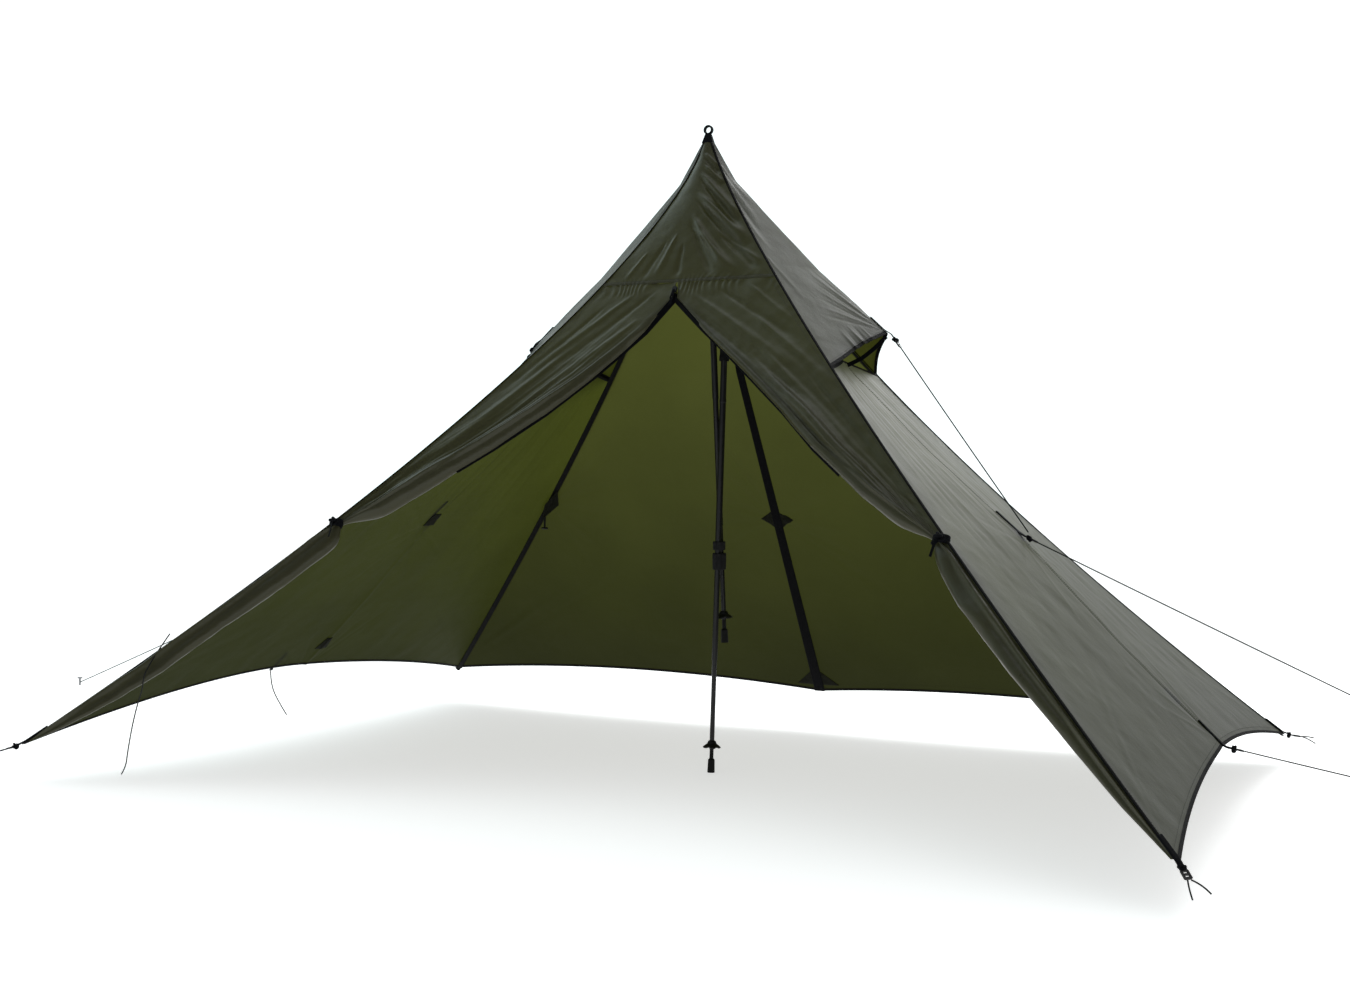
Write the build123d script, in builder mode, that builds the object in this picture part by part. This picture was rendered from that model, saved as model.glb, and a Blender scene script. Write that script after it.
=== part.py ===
"""Pyramid tent held up by two strapped trekking poles.

Millimetres, +Z up. The origin is on the ground below the apex, the doors face -Y and +X is
the right-hand side seen from the doors. Every panel is a thin strip lofted through
horizontal sections, so neighbouring pieces meet face to face along the same ruled faces.
"""

from build123d import *
from math import pi, radians, tan
import os

# ---------------------------------------------------------------- driving dimensions
APEX_Z = 1700.0  # top of the fabric
HALF_WIDTH = 1395.0  # corners along X
HALF_DEPTH = 1008.0  # corners along Y
CORNER_Z = {"front_left": 93.0, "front_right": 93.0, "back_left": 112.0, "back_right": 80.0}
# A ridge hangs in a curve: its way out from the pole is the drop to this power.
RIDGE_POWER = {"front_left": 1.325, "front_right": 1.171, "back_left": 1.198, "back_right": 1.332}
TIP_BLUNT = 0.006  # part of the half width left at the very top, over the pole grip
CLOTH = 2.0  # modelled thickness of every fabric panel
RIDGE_TAPE = 6.0  # width of each leg of a ridge tape
HEM_TAPE = 12.0  # height of the hem binding
ZIP_HALF = 13.0  # half width of the closed back zip with its flap
ZIP_TAPE = 12.0  # width of the zip tape on each open door
RUN_GAP = 0.3  # clearance between faces that pass each other
CORD_D = 3.2  # guyline diameter

CAP_Z = 1685.0  # panels end here under the apex cap
SEAM_Z = 1290.0  # cross seam over the doors, and the top of the back zip
LIP_PEAK = (508.0, 0.0, 1163.0)  # peak of the right vent hood
LIP_Z = {"front": 1050.0, "back": 1078.0}  # where a hood's lip meets the ridges
VENT_MID_Z = 1096.0  # top hem of a side panel under its hood
TIE_Z = 655.0  # height of the door ties and of the panel tie-outs

# Where each panel's middle line runs: (height, distance from the pole line).
HOOD_MIDDLE = [(1700, 9), (1579, 82), (1475, 170), (1331, 321), (1240, 425), (1163, 508), (1050, 630)]
SIDE_MIDDLE = [(1100, 384), (1050, 430), (860, 627), (TIE_Z, 859), (400, 1107), (178, 1340), (60, 1450)]
BACK_MIDDLE = [(1700, 6), (1475, 84), (1290, 148), (1090, 245), (124, 946), (60, 992)]
FRONT_MIDDLE = [(1700, 6), (1475, 106), (SEAM_Z, 183)]
# Free edge of each tied-back door: (height, distance from the middle, seen from the front).
LEFT_EDGE = [(1290, 1), (1246, 3), (1163, 60), (1050, 170), (950, 280), (860, 398), (755, 552),
             (690, 655), (655, 742), (590, 788), (525, 850), (400, 995), (290, 1102), (178, 1242), (93, 1385)]
RIGHT_EDGE = [(1290, 1), (1246, 8), (1163, 105), (1050, 250), (950, 375), (860, 477), (755, 618),
              (690, 727), (655, 796), (590, 840), (525, 893), (400, 1023), (290, 1150), (178, 1280), (93, 1386)]
DOOR_DEPTH = [(1290, 2), (1163, 4), (860, 12), (655, 16), (525, 24), (290, 22), (93, 4)]

STATIONS = [1685, 1600, 1540, 1475, 1410, 1350, 1290, 1246, 1163, 1100, 1078, 1050, 950, 860, 755,
            690, 655, 590, 525, 400, 290, 178, 112, 93, 80, 60]

# Ground points of the guylines and the height where a line meets its peg.
PEGS = {
    "right_panel": (2123.0, 588.0),
    "right_mid": (2024.0, 303.0),
    "left_panel": (-2785.0, 598.0),
    "front_left": (-1662.0, -1029.0),
}
PEG_R = 4.0
PEG_H = 30.0
PEG_LINE_Z = 12.0

# Trekking poles: the centre line of each one, from its foot to the top of its grip.
POLE_A = ((39.0, -4.0, 0.0), (49.0, 23.0, 1250.0))
POLE_B = ((53.0, 43.0, 345.0), (-4.0, -2.0, 1645.0))
SHAFT_R = {"upper": (8.6, 7.8), "mid": (7.5, 6.7), "lower": (6.4, 5.6)}  # outer and inner
STRAP_Z = [(540.0, 48.0), (593.0, 26.0)]  # bottom and height of the two pole straps

STRAP_W = 16.0  # width of the webbing
TAB_L = 22.0  # length of a webbing tab
LOCK = (20.0, 18.0, 4.0)  # line adjuster: length, width, thickness

os.makedirs("parts", exist_ok=True)


def save(part, name):
    """Label one finished piece and write it."""
    part.label = name
    export_step(part, f"parts/{name}.step")


# ---------------------------------------------------------------- shape rules of the canopy
def along(table, z):
    """Straight-line value of a (height, value) table that runs downwards."""
    for (z0, v0), (z1, v1) in zip(table, table[1:]):
        if z >= z1:
            return v0 + (v1 - v0) * (z0 - z) / (z0 - z1)
    return table[-1][1]


def ridge(corner, z):
    """Plan position of a ridge at height z."""
    drop = min(max((APEX_Z - z) / (APEX_Z - CORNER_Z[corner]), 0.0), 1.05)
    out = drop ** RIDGE_POWER[corner] + TIP_BLUNT * max(1.0 - drop, 0.0) ** 8
    side = -1 if corner.endswith("left") else 1
    end = -1 if corner.startswith("front") else 1
    return side * HALF_WIDTH * out, end * HALF_DEPTH * out


def side_middle(side, z, hood):
    """Middle of a side panel, or of the hood above it."""
    sign = -1 if side == "left" else 1
    return sign * along(HOOD_MIDDLE if hood else SIDE_MIDDLE, z), 0.0


def end_middle(end, z):
    """Middle of the front or back panel; below the seam the front runs straight across."""
    if end == "back":
        return 0.0, along(BACK_MIDDLE, z)
    if z >= SEAM_Z:
        return 0.0, -along(FRONT_MIDDLE, z)
    (x0, y0), (x1, y1) = ridge("front_left", z), ridge("front_right", z)
    return 0.0, y0 - (y1 - y0) * x0 / (x1 - x0)


def at_y(p, q, y):
    """Point of the line p-q at a given y."""
    t = (y - p[1]) / (q[1] - p[1])
    return p[0] + (q[0] - p[0]) * t, y


def at_x(p, q, x):
    """Point of the line p-q at a given x."""
    t = (x - p[0]) / (q[0] - p[0])
    return x, p[1] + (q[1] - p[1]) * t


def shifted(points, dx, dy):
    """The same outline points, moved in plan."""
    return [(x + dx, y + dy) for x, y in points]


def levels(top, bottom):
    """The shared stations between two heights, both ends included."""
    inner = [z for z in STATIONS if bottom < z < top]
    return [top] + inner + [bottom]


def lofted(heights, outline):
    """Solid through one closed outline at each height."""
    with BuildPart() as piece:
        for z in heights:
            with BuildSketch(Plane.XY.offset(z)):
                with BuildLine():
                    Polyline(*outline(z), close=True)
                make_face()
        loft(ruled=True)
    return piece.part


def side_strip(side, hood, depth=CLOTH):
    """Outline of a side panel between its two ridge tapes."""
    inward = depth if side == "left" else -depth

    def outline(z):
        front, back = ridge(f"front_{side}", z), ridge(f"back_{side}", z)
        middle = side_middle(side, z, hood)
        outer = [at_y(front, middle, front[1] + RIDGE_TAPE), middle, at_y(middle, back, back[1] - RIDGE_TAPE)]
        return outer + shifted(outer, inward, 0)[::-1]

    return outline


def back_strip(side, depth=CLOTH):
    """Outline of half the back panel, from its ridge tape to the middle."""
    sign = -1 if side == "left" else 1

    def outline(z):
        corner, middle = ridge(f"back_{side}", z), end_middle("back", z)
        half = ZIP_HALF if z < SEAM_Z else 0.0
        outer = [at_x(corner, middle, corner[0] - sign * RIDGE_TAPE), at_x(corner, middle, sign * half)]
        return outer + shifted(outer, 0, -depth)[::-1]

    return outline


def front_top_strip(z):
    """Outline of the front panel above the doors."""
    left, right, middle = ridge("front_left", z), ridge("front_right", z), end_middle("front", z)
    outer = [at_x(left, middle, left[0] + RIDGE_TAPE), middle, at_x(middle, right, right[0] - RIDGE_TAPE)]
    return outer + shifted(outer, 0, CLOTH)[::-1]


def door_edge(side, z):
    """Free edge of a tied-back door, in plan."""
    sign = -1 if side == "left" else 1
    table = LEFT_EDGE if side == "left" else RIGHT_EDGE
    return at_x(ridge(f"front_{side}", z), end_middle("front", z), sign * along(table, z))


def door_strip(side):
    """Outline of a door from its ridge tape to its free edge."""
    sign = -1 if side == "left" else 1

    def outline(z):
        corner, edge = ridge(f"front_{side}", z), door_edge(side, z)
        start = at_x(corner, edge, corner[0] - sign * RIDGE_TAPE)
        depth = along(DOOR_DEPTH, z)
        return [start, edge, (edge[0], edge[1] + depth), (start[0], start[1] + depth)]

    return outline


def zip_tape_strip(side):
    """Outline of the zip tape along a door's free edge."""
    sign = -1 if side == "left" else 1

    def outline(z):
        corner, edge = ridge(f"front_{side}", z), door_edge(side, z)
        width = ZIP_TAPE if z < 1246 else 0.9
        free = at_x(corner, edge, edge[0] - sign * width)
        return [edge, free, (free[0], free[1] + CLOTH), (edge[0], edge[1] + CLOTH)]

    return outline


def corner_band(corner, hood, leg, inset=0.0, depth=CLOTH):
    """Outline of an L-shaped band that wraps a ridge, outside or inside the panels."""
    end, side = corner.split("_")
    sx = -1 if side == "left" else 1
    sy = -1 if end == "front" else 1

    def outline(z):
        peak = ridge(corner, z)
        reach = leg(z)
        on_side = at_y(peak, side_middle(side, z, hood), peak[1] - sy * (reach + inset))
        on_end = at_x(peak, end_middle(end, z), peak[0] - sx * (reach + inset))
        outer = [
            (on_end[0], on_end[1] - sy * inset),
            (peak[0] - sx * inset, peak[1] - sy * inset),
            (on_side[0] - sx * inset, on_side[1]),
        ]
        return outer + [
            (outer[2][0] - sx * depth, outer[2][1]),
            (outer[1][0] - sx * depth, outer[1][1] - sy * depth),
            (outer[0][0], outer[0][1] - sy * depth),
        ]

    return outline


# ---------------------------------------------------------------- hems
# Every hem is two shallow arcs: (ends and middles of the arcs, along the hem and in height).
HEMS = {
    "right": [(-1008, 93), (-480, 146), (0, 171), (520, 138), (1008, 80)],
    "left": [(-1008, 93), (-480, 198), (0, 213), (520, 176), (1008, 112)],
    "back": [(-1395, 112), (-640, 152), (0, 122), (640, 143), (1395, 80)],
}
PAST = 60.0  # how far a cutting profile runs past the corners


def below_hem(name, raised):
    """Profile of everything under a hem, raised by a given height, extruded through the panel."""
    points = [(u, v + raised) for u, v in HEMS[name]]
    first, last = points[0], points[-1]
    across = Plane.YZ if name in ("left", "right") else Plane.XZ
    with BuildPart() as cutter:
        with BuildSketch(across):
            with BuildLine():
                ThreePointArc(*points[:3])
                ThreePointArc(*points[2:])
                Polyline(last, (last[0] + PAST, last[1]), (last[0] + PAST, -PAST),
                         (first[0] - PAST, -PAST), (first[0] - PAST, first[1]), first)
            make_face()
        extrude(amount=2 * HALF_WIDTH, both=True)
    return cutter.part


def hemmed(panel, name):
    """A panel cut off at the top of its hem binding."""
    with BuildPart() as piece:
        add(panel)
        add(below_hem(name, HEM_TAPE), mode=Mode.SUBTRACT)
    return piece.part


def hem_binding(panel, name):
    """The band of a panel's strip between the hem and the top of its binding."""
    with BuildPart() as piece:
        add(panel)
        add(below_hem(name, HEM_TAPE), mode=Mode.INTERSECT)
        add(below_hem(name, 0.0), mode=Mode.SUBTRACT)
    return piece.part


def lip_cut(side, upper):
    """Profile under a hood's lip (upper) or over a side panel's top hem, through one side."""
    sign = -1 if side == "left" else 1
    front_y = ridge(f"front_{side}", LIP_Z["front"])[1]
    back_y = ridge(f"back_{side}", LIP_Z["back"])[1]
    peak_z = LIP_PEAK[2] if upper else VENT_MID_Z
    past_z = 900.0 if upper else 1300.0
    with BuildPart() as cutter:
        with BuildSketch(Plane.YZ):
            with BuildLine():
                Polyline((front_y, LIP_Z["front"]), (0, peak_z), (back_y, LIP_Z["back"]),
                         (back_y + PAST, LIP_Z["back"]), (back_y + PAST, past_z),
                         (front_y - PAST, past_z), (front_y - PAST, LIP_Z["front"]), close=True)
            make_face()
        extrude(amount=sign * HALF_WIDTH)
    return cutter.part


# ---------------------------------------------------------------- canopy panels
BOTTOM = STATIONS[-1]


def side_panel(side):
    """Lower side panel, full height, before its hem is cut."""
    with BuildPart() as piece:
        add(lofted(levels(1100, BOTTOM), side_strip(side, hood=False)))
        add(lip_cut(side, upper=False), mode=Mode.SUBTRACT)
    return piece.part


def vent_hood(side):
    """Upper side panel, pulled out into a peak over the vent."""
    with BuildPart() as piece:
        add(lofted(levels(CAP_Z, LIP_Z["front"]), side_strip(side, hood=True)))
        add(lip_cut(side, upper=True), mode=Mode.SUBTRACT)
    return piece.part


def ridge_tape(corner):
    """Tape over a ridge, in two lengths that meet at the vent lip."""
    end = corner.split("_")[0]
    wide = lambda z: RIDGE_TAPE
    with BuildPart() as piece:
        add(lofted(levels(CAP_Z, LIP_Z[end]), corner_band(corner, True, wide)))
        add(lofted(levels(LIP_Z[end], CORNER_Z[corner]), corner_band(corner, False, wide)))
    return piece.part


save(lofted(levels(CAP_Z, SEAM_Z), front_top_strip), "front_top_panel")

for side in ("left", "right"):
    save(vent_hood(side), f"{side}_vent_hood")
    save(hemmed(side_panel(side), side), f"{side}_side_panel")
    with BuildPart() as back_half:
        add(lofted(levels(CAP_Z, SEAM_Z), back_strip(side)))
        add(hemmed(lofted(levels(SEAM_Z - 0.01, BOTTOM), back_strip(side)), "back"))
    save(back_half.part, f"back_{side}_panel")
    save(lofted(levels(SEAM_Z, 93), door_strip(side)), f"{side}_front_door")
    save(lofted(levels(SEAM_Z, 740), zip_tape_strip(side)), f"{side}_zip_tape")

for end in ("front", "back"):
    with BuildPart() as tapes:
        add(ridge_tape(f"{end}_left"))
        add(ridge_tape(f"{end}_right"))
    save(tapes.part, f"{end}_ridge_tapes")


def back_zip_outline(z):
    """Outline of the closed zip and its flap, over the middle of the back."""
    middle = end_middle("back", z)
    left = at_x(ridge("back_left", z), middle, -ZIP_HALF)
    right = at_x(middle, ridge("back_right", z), ZIP_HALF)
    outer = [left, middle, right]
    return outer + shifted(outer, 0, -CLOTH)[::-1]


save(hemmed(lofted(levels(SEAM_Z, BOTTOM), back_zip_outline), "back"), "back_zip_tape")

with BuildPart() as hem_bindings:
    add(hem_binding(side_panel("left"), "left"))
    add(hem_binding(side_panel("right"), "right"))
    add(hem_binding(lofted(levels(400, BOTTOM), back_strip("left")), "back"))
    add(hem_binding(lofted(levels(400, BOTTOM), back_strip("right")), "back"))
save(hem_bindings.part, "hem_bindings")

# ---------------------------------------------------------------- apex
with BuildPart() as apex_cap:
    with BuildSketch(Plane.XY.offset(CAP_Z)):
        RectangleRounded(32, 26, 6)
    with BuildSketch(Plane.XY.offset(CAP_Z + 24)):
        RectangleRounded(18, 16, 6)
    loft()
    with BuildSketch(Plane.XZ):
        with Locations((0, CAP_Z + 36)):
            Circle(13)
            Circle(8, mode=Mode.SUBTRACT)
    extrude(amount=4, both=True)
save(apex_cap.part, "apex_cap")

# ---------------------------------------------------------------- vents
STRUT_TOP = (505.0, 0.0, 1152.0)
STRUT_FOOT = (410.0, -18.0, 1082.0)
STRUT_W = 14.0
STRUT_T = 2.5


def mirrored(point):
    """The same point on the left-hand side."""
    return -point[0], point[1], point[2]


def bar(start, end, width, thickness):
    """Flat bar between two points, its width level."""
    run = Vector(*end) - Vector(*start)
    level = Vector(0, 0, 1).cross(run).normalized()
    with BuildPart() as piece:
        with BuildSketch(Plane(origin=start, x_dir=level, z_dir=run)):
            Rectangle(width, thickness)
        extrude(amount=run.length)
    return piece.part


save(bar(STRUT_TOP, STRUT_FOOT, STRUT_W, STRUT_T), "right_vent_strut")
save(bar(mirrored(STRUT_TOP), mirrored(STRUT_FOOT), STRUT_W, STRUT_T), "left_vent_strut")

LIP_TAPE = 8.0  # height of the binding hung under a hood's lip


def lip_binding(side):
    """Binding along both edges of a hood, just under its lip."""
    with BuildPart() as piece:
        add(lofted(levels(CAP_Z, LIP_Z["front"]), side_strip(side, hood=True)))
        add(lip_cut(side, upper=True), mode=Mode.INTERSECT)
        add(lip_cut(side, upper=True).moved(Location((0, 0, -LIP_TAPE))), mode=Mode.SUBTRACT)
    return piece.part


with BuildPart() as hood_bindings:
    add(lip_binding("left"))
    add(lip_binding("right"))
save(hood_bindings.part, "hood_bindings")

# ---------------------------------------------------------------- reinforcing patches
PATCH_T = 1.2
PATCH_GAP = CLOTH + RUN_GAP  # patches lie just inside the panels
RIDGE_PATCH_Z = 705.0
RIDGE_PATCH_HALF = 42.0


def ridge_patch(corner):
    """Diamond folded into the inside of a back ridge."""
    reach = lambda z: 4 + 30 * (1 - abs(z - RIDGE_PATCH_Z) / RIDGE_PATCH_HALF)
    heights = [RIDGE_PATCH_Z + RIDGE_PATCH_HALF, RIDGE_PATCH_Z, RIDGE_PATCH_Z - RIDGE_PATCH_HALF]
    return lofted(heights, corner_band(corner, False, reach, PATCH_GAP + 2, PATCH_T))


with BuildPart() as ridge_patches:
    add(ridge_patch("back_left"))
    add(ridge_patch("back_right"))
save(ridge_patches.part, "ridge_patches")


def plate(centre, along_dir, normal, outline):
    """Thin flat patch on a plane."""
    with BuildPart() as piece:
        with BuildSketch(Plane(origin=centre, x_dir=along_dir, z_dir=normal)):
            with BuildLine():
                Polyline(*outline, close=True)
            make_face()
        extrude(amount=PATCH_T)
    return piece.part


DIAMOND = [(-34, 0), (0, -40), (34, 0), (0, 40)]
HEM_FLARE = [(-70, -18), (70, -18), (16, 34), (-16, 34)]
SMALL_TAB = [(-26, -20), (26, -20), (14, 22), (-14, 22)]
BACK_FACE = Vector(0, -966, -701)  # normal of the straight back middle, towards the inside
SIDE_FACE = Vector(-205, 0, -232)

with BuildPart() as panel_patches:
    for z, shape in ((672.0, DIAMOND), (165.0, HEM_FLARE)):
        middle_y = along(BACK_MIDDLE, z)
        add(plate((0, middle_y - 9, z), (1, 0, 0), BACK_FACE, shape))
    for sign in (-1, 1):
        inside = Vector(sign * SIDE_FACE.X, 0, SIDE_FACE.Z)
        add(plate((sign * (859 - 9), 0, TIE_Z), (0, 1, 0), inside, SMALL_TAB))
        add(plate((sign * (along(SIDE_MIDDLE, 262) - 9), 0, 262), (0, 1, 0), inside, SMALL_TAB))
save(panel_patches.part, "panel_patches")


# ---------------------------------------------------------------- webbing tabs and adjusters
def aim(start, target):
    """Unit vector from one point to another."""
    return (Vector(*target) - Vector(*start)).normalized()


def ahead(start, direction, distance):
    """Point a distance along a direction."""
    return tuple(Vector(*start) + direction * distance)


def adjuster(start, direction):
    """Line adjuster: a small plate with two slots, the webbing end first."""
    length, width, thickness = LOCK
    level = Vector(0, 0, 1).cross(direction).normalized()
    with BuildPart() as piece:
        with BuildSketch(Plane(origin=start, x_dir=direction, z_dir=level.cross(direction))):
            with Locations((length / 2, 0)):
                RectangleRounded(length, width, 3)
            with Locations((6, 0), (13.5, 0)):
                Rectangle(3.5, width - 7, mode=Mode.SUBTRACT)
        extrude(amount=thickness / 2, both=True)
    return piece.part


def peg_side(name, start):
    """Point where a line meets the near side of its peg."""
    x, y = PEGS[name]
    flat = Vector(start[0] - x, start[1] - y, 0).normalized()
    reach = PEG_R + 0.8
    return x + flat.X * reach, y + flat.Y * reach, PEG_LINE_Z


# Start of every tab on the canopy, just clear of the fabric.
ROOTS = {
    "right_panel": (865.0, 0.0, TIE_Z),
    "left_panel": (-865.0, 0.0, TIE_Z),
    "right_mid": (1353.0, 0.0, 170.0),
    "front_left": (-1398.0, -1010.0, 92.0),
    "front_right": (1398.0, -1010.0, 91.0),
    "back_right": (1398.0, 1010.0, 79.0),
    "back_left": (-1398.0, 1010.0, 110.0),
    "right_hood": (520.0, 0.0, 1160.0),
    "left_hood": (-520.0, 0.0, 1160.0),
    "left_mid": (-1308.0, -150.0, 214.0),
}
HOOD_LINE_END = (880.0, 0.0, 662.0)
AIMS = {name: aim(ROOTS[name], peg_side(name, ROOTS[name])) for name in PEGS}
AIMS["right_hood"] = aim(ROOTS["right_hood"], HOOD_LINE_END)
AIMS["left_hood"] = aim(ROOTS["left_hood"], mirrored(HOOD_LINE_END))
AIMS["front_right"] = Vector(0.55, -0.45, -0.7).normalized()
AIMS["back_right"] = Vector(0.94, 0.3, -0.1).normalized()
AIMS["back_left"] = Vector(-0.6, 0.5, -0.6).normalized()
AIMS["left_mid"] = Vector(-0.5, 0, -0.85).normalized()
SHORT_TAB = 8.0
SWING_ROOM = 2.2  # between a tab and an adjuster that swings on it


def tab_end(name):
    """Far end of a tab."""
    length = SHORT_TAB if name in ("front_right", "back_left", "left_mid") else TAB_L
    return ahead(ROOTS[name], AIMS[name], length)


def lock_end(name):
    """Just past the far end of the adjuster on a tab, where its cord leaves."""
    return ahead(tab_end(name), AIMS[name], LOCK[0] + RUN_GAP)


with BuildPart() as corner_webbing:
    for corner in CORNER_Z:
        room = SWING_ROOM if corner in ("front_right", "back_right") else 0.0
        add(bar(ROOTS[corner], ahead(tab_end(corner), AIMS[corner], -room), STRAP_W, 2.0))
save(corner_webbing.part, "corner_webbing")

with BuildPart() as tie_out_webbing:
    for name in ("right_panel", "left_panel", "right_mid", "left_mid", "right_hood", "left_hood"):
        add(bar(ROOTS[name], tab_end(name), STRAP_W, 2.0))
save(tie_out_webbing.part, "tie_out_webbing")

with BuildPart() as line_adjusters:
    for name in ("right_panel", "left_panel", "right_mid", "front_left", "right_hood"):
        add(adjuster(tab_end(name), AIMS[name]))
save(line_adjusters.part, "line_adjusters")

save(adjuster(tab_end("front_right"), AIMS["front_right"]), "front_right_adjuster")
save(adjuster(tab_end("back_right"), AIMS["back_right"]), "back_right_adjuster")

# ---------------------------------------------------------------- door ties
def door_tie(side):
    """Strap sewn to the ridge that wraps round the rolled door, with its loose tail."""
    sign = -1 if side == "left" else 1

    def wrapped(z, out, ends):
        """Point off the ridge-to-edge line: (along the line, out of the front)."""
        corner, edge = Vector(*ridge(f"front_{side}", z)), Vector(*door_edge(side, z))
        run = (edge - corner).normalized()
        front = Vector(-sign * run.Y, sign * run.X)
        origin = corner if ends == "ridge" else edge
        point = origin + run * out[0] + front * out[1]
        return point.X, point.Y

    def loop(z):
        depth = along(DOOR_DEPTH, z) + 1.5
        inner = [("ridge", 0, 0.8), ("edge", 0.8, 0.8), ("edge", 0.8, -depth), ("ridge", 9, -depth)]
        outer = [("ridge", 9, -depth - 1.5), ("edge", 2.3, -depth - 1.5), ("edge", 2.3, 2.3), ("ridge", 0, 2.3)]
        return [wrapped(z, (run, out), ends) for ends, run, out in inner + outer]

    def tail(z):
        return [wrapped(z, (run, out), "ridge") for run, out in ((18, 0.8), (24, 0.8), (24, 2.3), (18, 2.3))]

    with BuildPart() as piece:
        add(lofted([TIE_Z + 5, TIE_Z - 5], loop))
        add(lofted([TIE_Z - 5, TIE_Z - 45], tail))
    return piece.part


save(door_tie("left"), "left_door_tie")
save(door_tie("right"), "right_door_tie")


# ---------------------------------------------------------------- toggles on the back ridges
def hanging_toggle(corner):
    """Cord loop and toggle that hang from a ridge patch."""
    end, side = corner.split("_")
    x, y = ridge(corner, RIDGE_PATCH_Z - RIDGE_PATCH_HALF)
    inward = Vector(-x, -y, 0).normalized() * 26
    top = (x + inward.X, y + inward.Y, RIDGE_PATCH_Z - RIDGE_PATCH_HALF)
    with BuildPart() as piece:
        with BuildSketch(Plane(origin=top, z_dir=(0, 0, -1))):
            Rectangle(6, 2)
        extrude(amount=34)
        with BuildSketch(Plane(origin=(top[0] - 10, top[1], top[2] - 36), z_dir=(1, 0, 0))):
            Circle(3.5)
        extrude(amount=20)
    return piece.part


save(hanging_toggle("back_left"), "back_left_toggle")
save(hanging_toggle("back_right"), "back_right_toggle")

# ---------------------------------------------------------------- zip sliders
SLIDER = (12.0, 6.0, 16.0)
PULL_L = 46.0
FRONT_SLIDER_Z = 1268.0
FRONT_RUN = Vector(0, 26, 46).normalized()  # up the front, in the middle plane
FRONT_OUT = Vector(0, -46, 26).normalized()  # away from the fabric


def before_front(z, gap):
    """Point in front of the doors' meeting line at a height."""
    return ahead((0, end_middle("front", z)[1], z), FRONT_OUT, gap)


with BuildPart() as front_zip_slider:
    with BuildSketch(Plane(origin=before_front(FRONT_SLIDER_Z, 1.0), x_dir=(1, 0, 0), z_dir=FRONT_OUT)):
        RectangleRounded(SLIDER[0], SLIDER[2], 2)
    extrude(amount=SLIDER[1])
save(front_zip_slider.part, "front_zip_slider")

FRONT_PULL_TOP = ahead(before_front(FRONT_SLIDER_Z, SLIDER[1] + 1.0 + RUN_GAP), FRONT_RUN, -3)
with BuildPart() as front_zip_pull:
    with BuildSketch(Plane(origin=FRONT_PULL_TOP, x_dir=(1, 0, 0), z_dir=FRONT_OUT)):
        with Locations((0, -PULL_L / 2)):
            RectangleRounded(8, PULL_L, 3)
            RectangleRounded(4, PULL_L - 4, 1.5, mode=Mode.SUBTRACT)
    extrude(amount=2)
save(front_zip_pull.part, "front_zip_pull")

BACK_RUN = Vector(0, -701, 966).normalized()  # up along the straight back zip
BACK_OUT = Vector(0, 966, 701).normalized()  # away from the fabric, behind it
SLIDER_START_Z = 152.0
SLIDER_GAP = 1.1  # between the back slider and the zip tape


def behind_zip(z, gap):
    """Point behind the back zip at a height."""
    return ahead((0, along(BACK_MIDDLE, z), z), BACK_OUT, gap)


with BuildPart() as back_zip_slider:
    with BuildSketch(Plane(origin=behind_zip(SLIDER_START_Z, SLIDER_GAP), x_dir=(1, 0, 0), z_dir=BACK_OUT)):
        RectangleRounded(SLIDER[0], SLIDER[2], 2)
    extrude(amount=SLIDER[1])
save(back_zip_slider.part, "back_zip_slider")

PULL_TOP = ahead(behind_zip(SLIDER_START_Z, SLIDER[1] + SLIDER_GAP + RUN_GAP), BACK_RUN, 4)
with BuildPart() as back_zip_pull:
    with BuildSketch(Plane(origin=PULL_TOP, x_dir=(1, 0, 0), z_dir=BACK_OUT)):
        with Locations((0, 20)):
            RectangleRounded(8, 40, 3)
            RectangleRounded(4, 36, 1.5, mode=Mode.SUBTRACT)
    extrude(amount=2)
save(back_zip_pull.part, "back_zip_pull")


# ---------------------------------------------------------------- trekking poles
def pole_plane(pole):
    """Frame of a pole: origin at its foot, Z along it."""
    foot, top = Vector(*pole[0]), Vector(*pole[1])
    return Plane(origin=foot, z_dir=top - foot)


def turned(pole, outline):
    """Piece turned about a pole's centre line from (radius, height) points."""
    frame = pole_plane(pole)
    with BuildPart() as piece:
        with BuildSketch(Plane(origin=frame.origin, x_dir=frame.x_dir, z_dir=-frame.y_dir)):
            with BuildLine():
                Polyline(*outline, close=True)
            make_face()
        revolve(axis=Axis(frame.origin, frame.z_dir))
    return piece.part


def tube(pole, section, low, high, rings=()):
    """Shaft between two heights, with raised bands at some heights."""
    outer, inner = SHAFT_R[section]
    points = [(inner, low), (outer, low)]
    for height in rings:
        points += [(outer, height), (outer + 0.9, height + 1), (outer + 0.9, height + 9), (outer, height + 10)]
    return turned(pole, points + [(outer, high), (inner, high)])


def grip(pole, low, high):
    """Foam and rubber grip with a head, over the top of the upper shaft."""
    r = SHAFT_R["upper"][0]
    outline = [(r, low), (13, low), (13.5, low + 8), (12, low + 20), (13.5, low + 60), (12, low + 95),
               (14, high - 30), (14.5, high - 14), (11, high - 3), (6, high), (0, high), (0, high - 12),
               (r, high - 12)]
    return turned(pole, outline)


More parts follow.
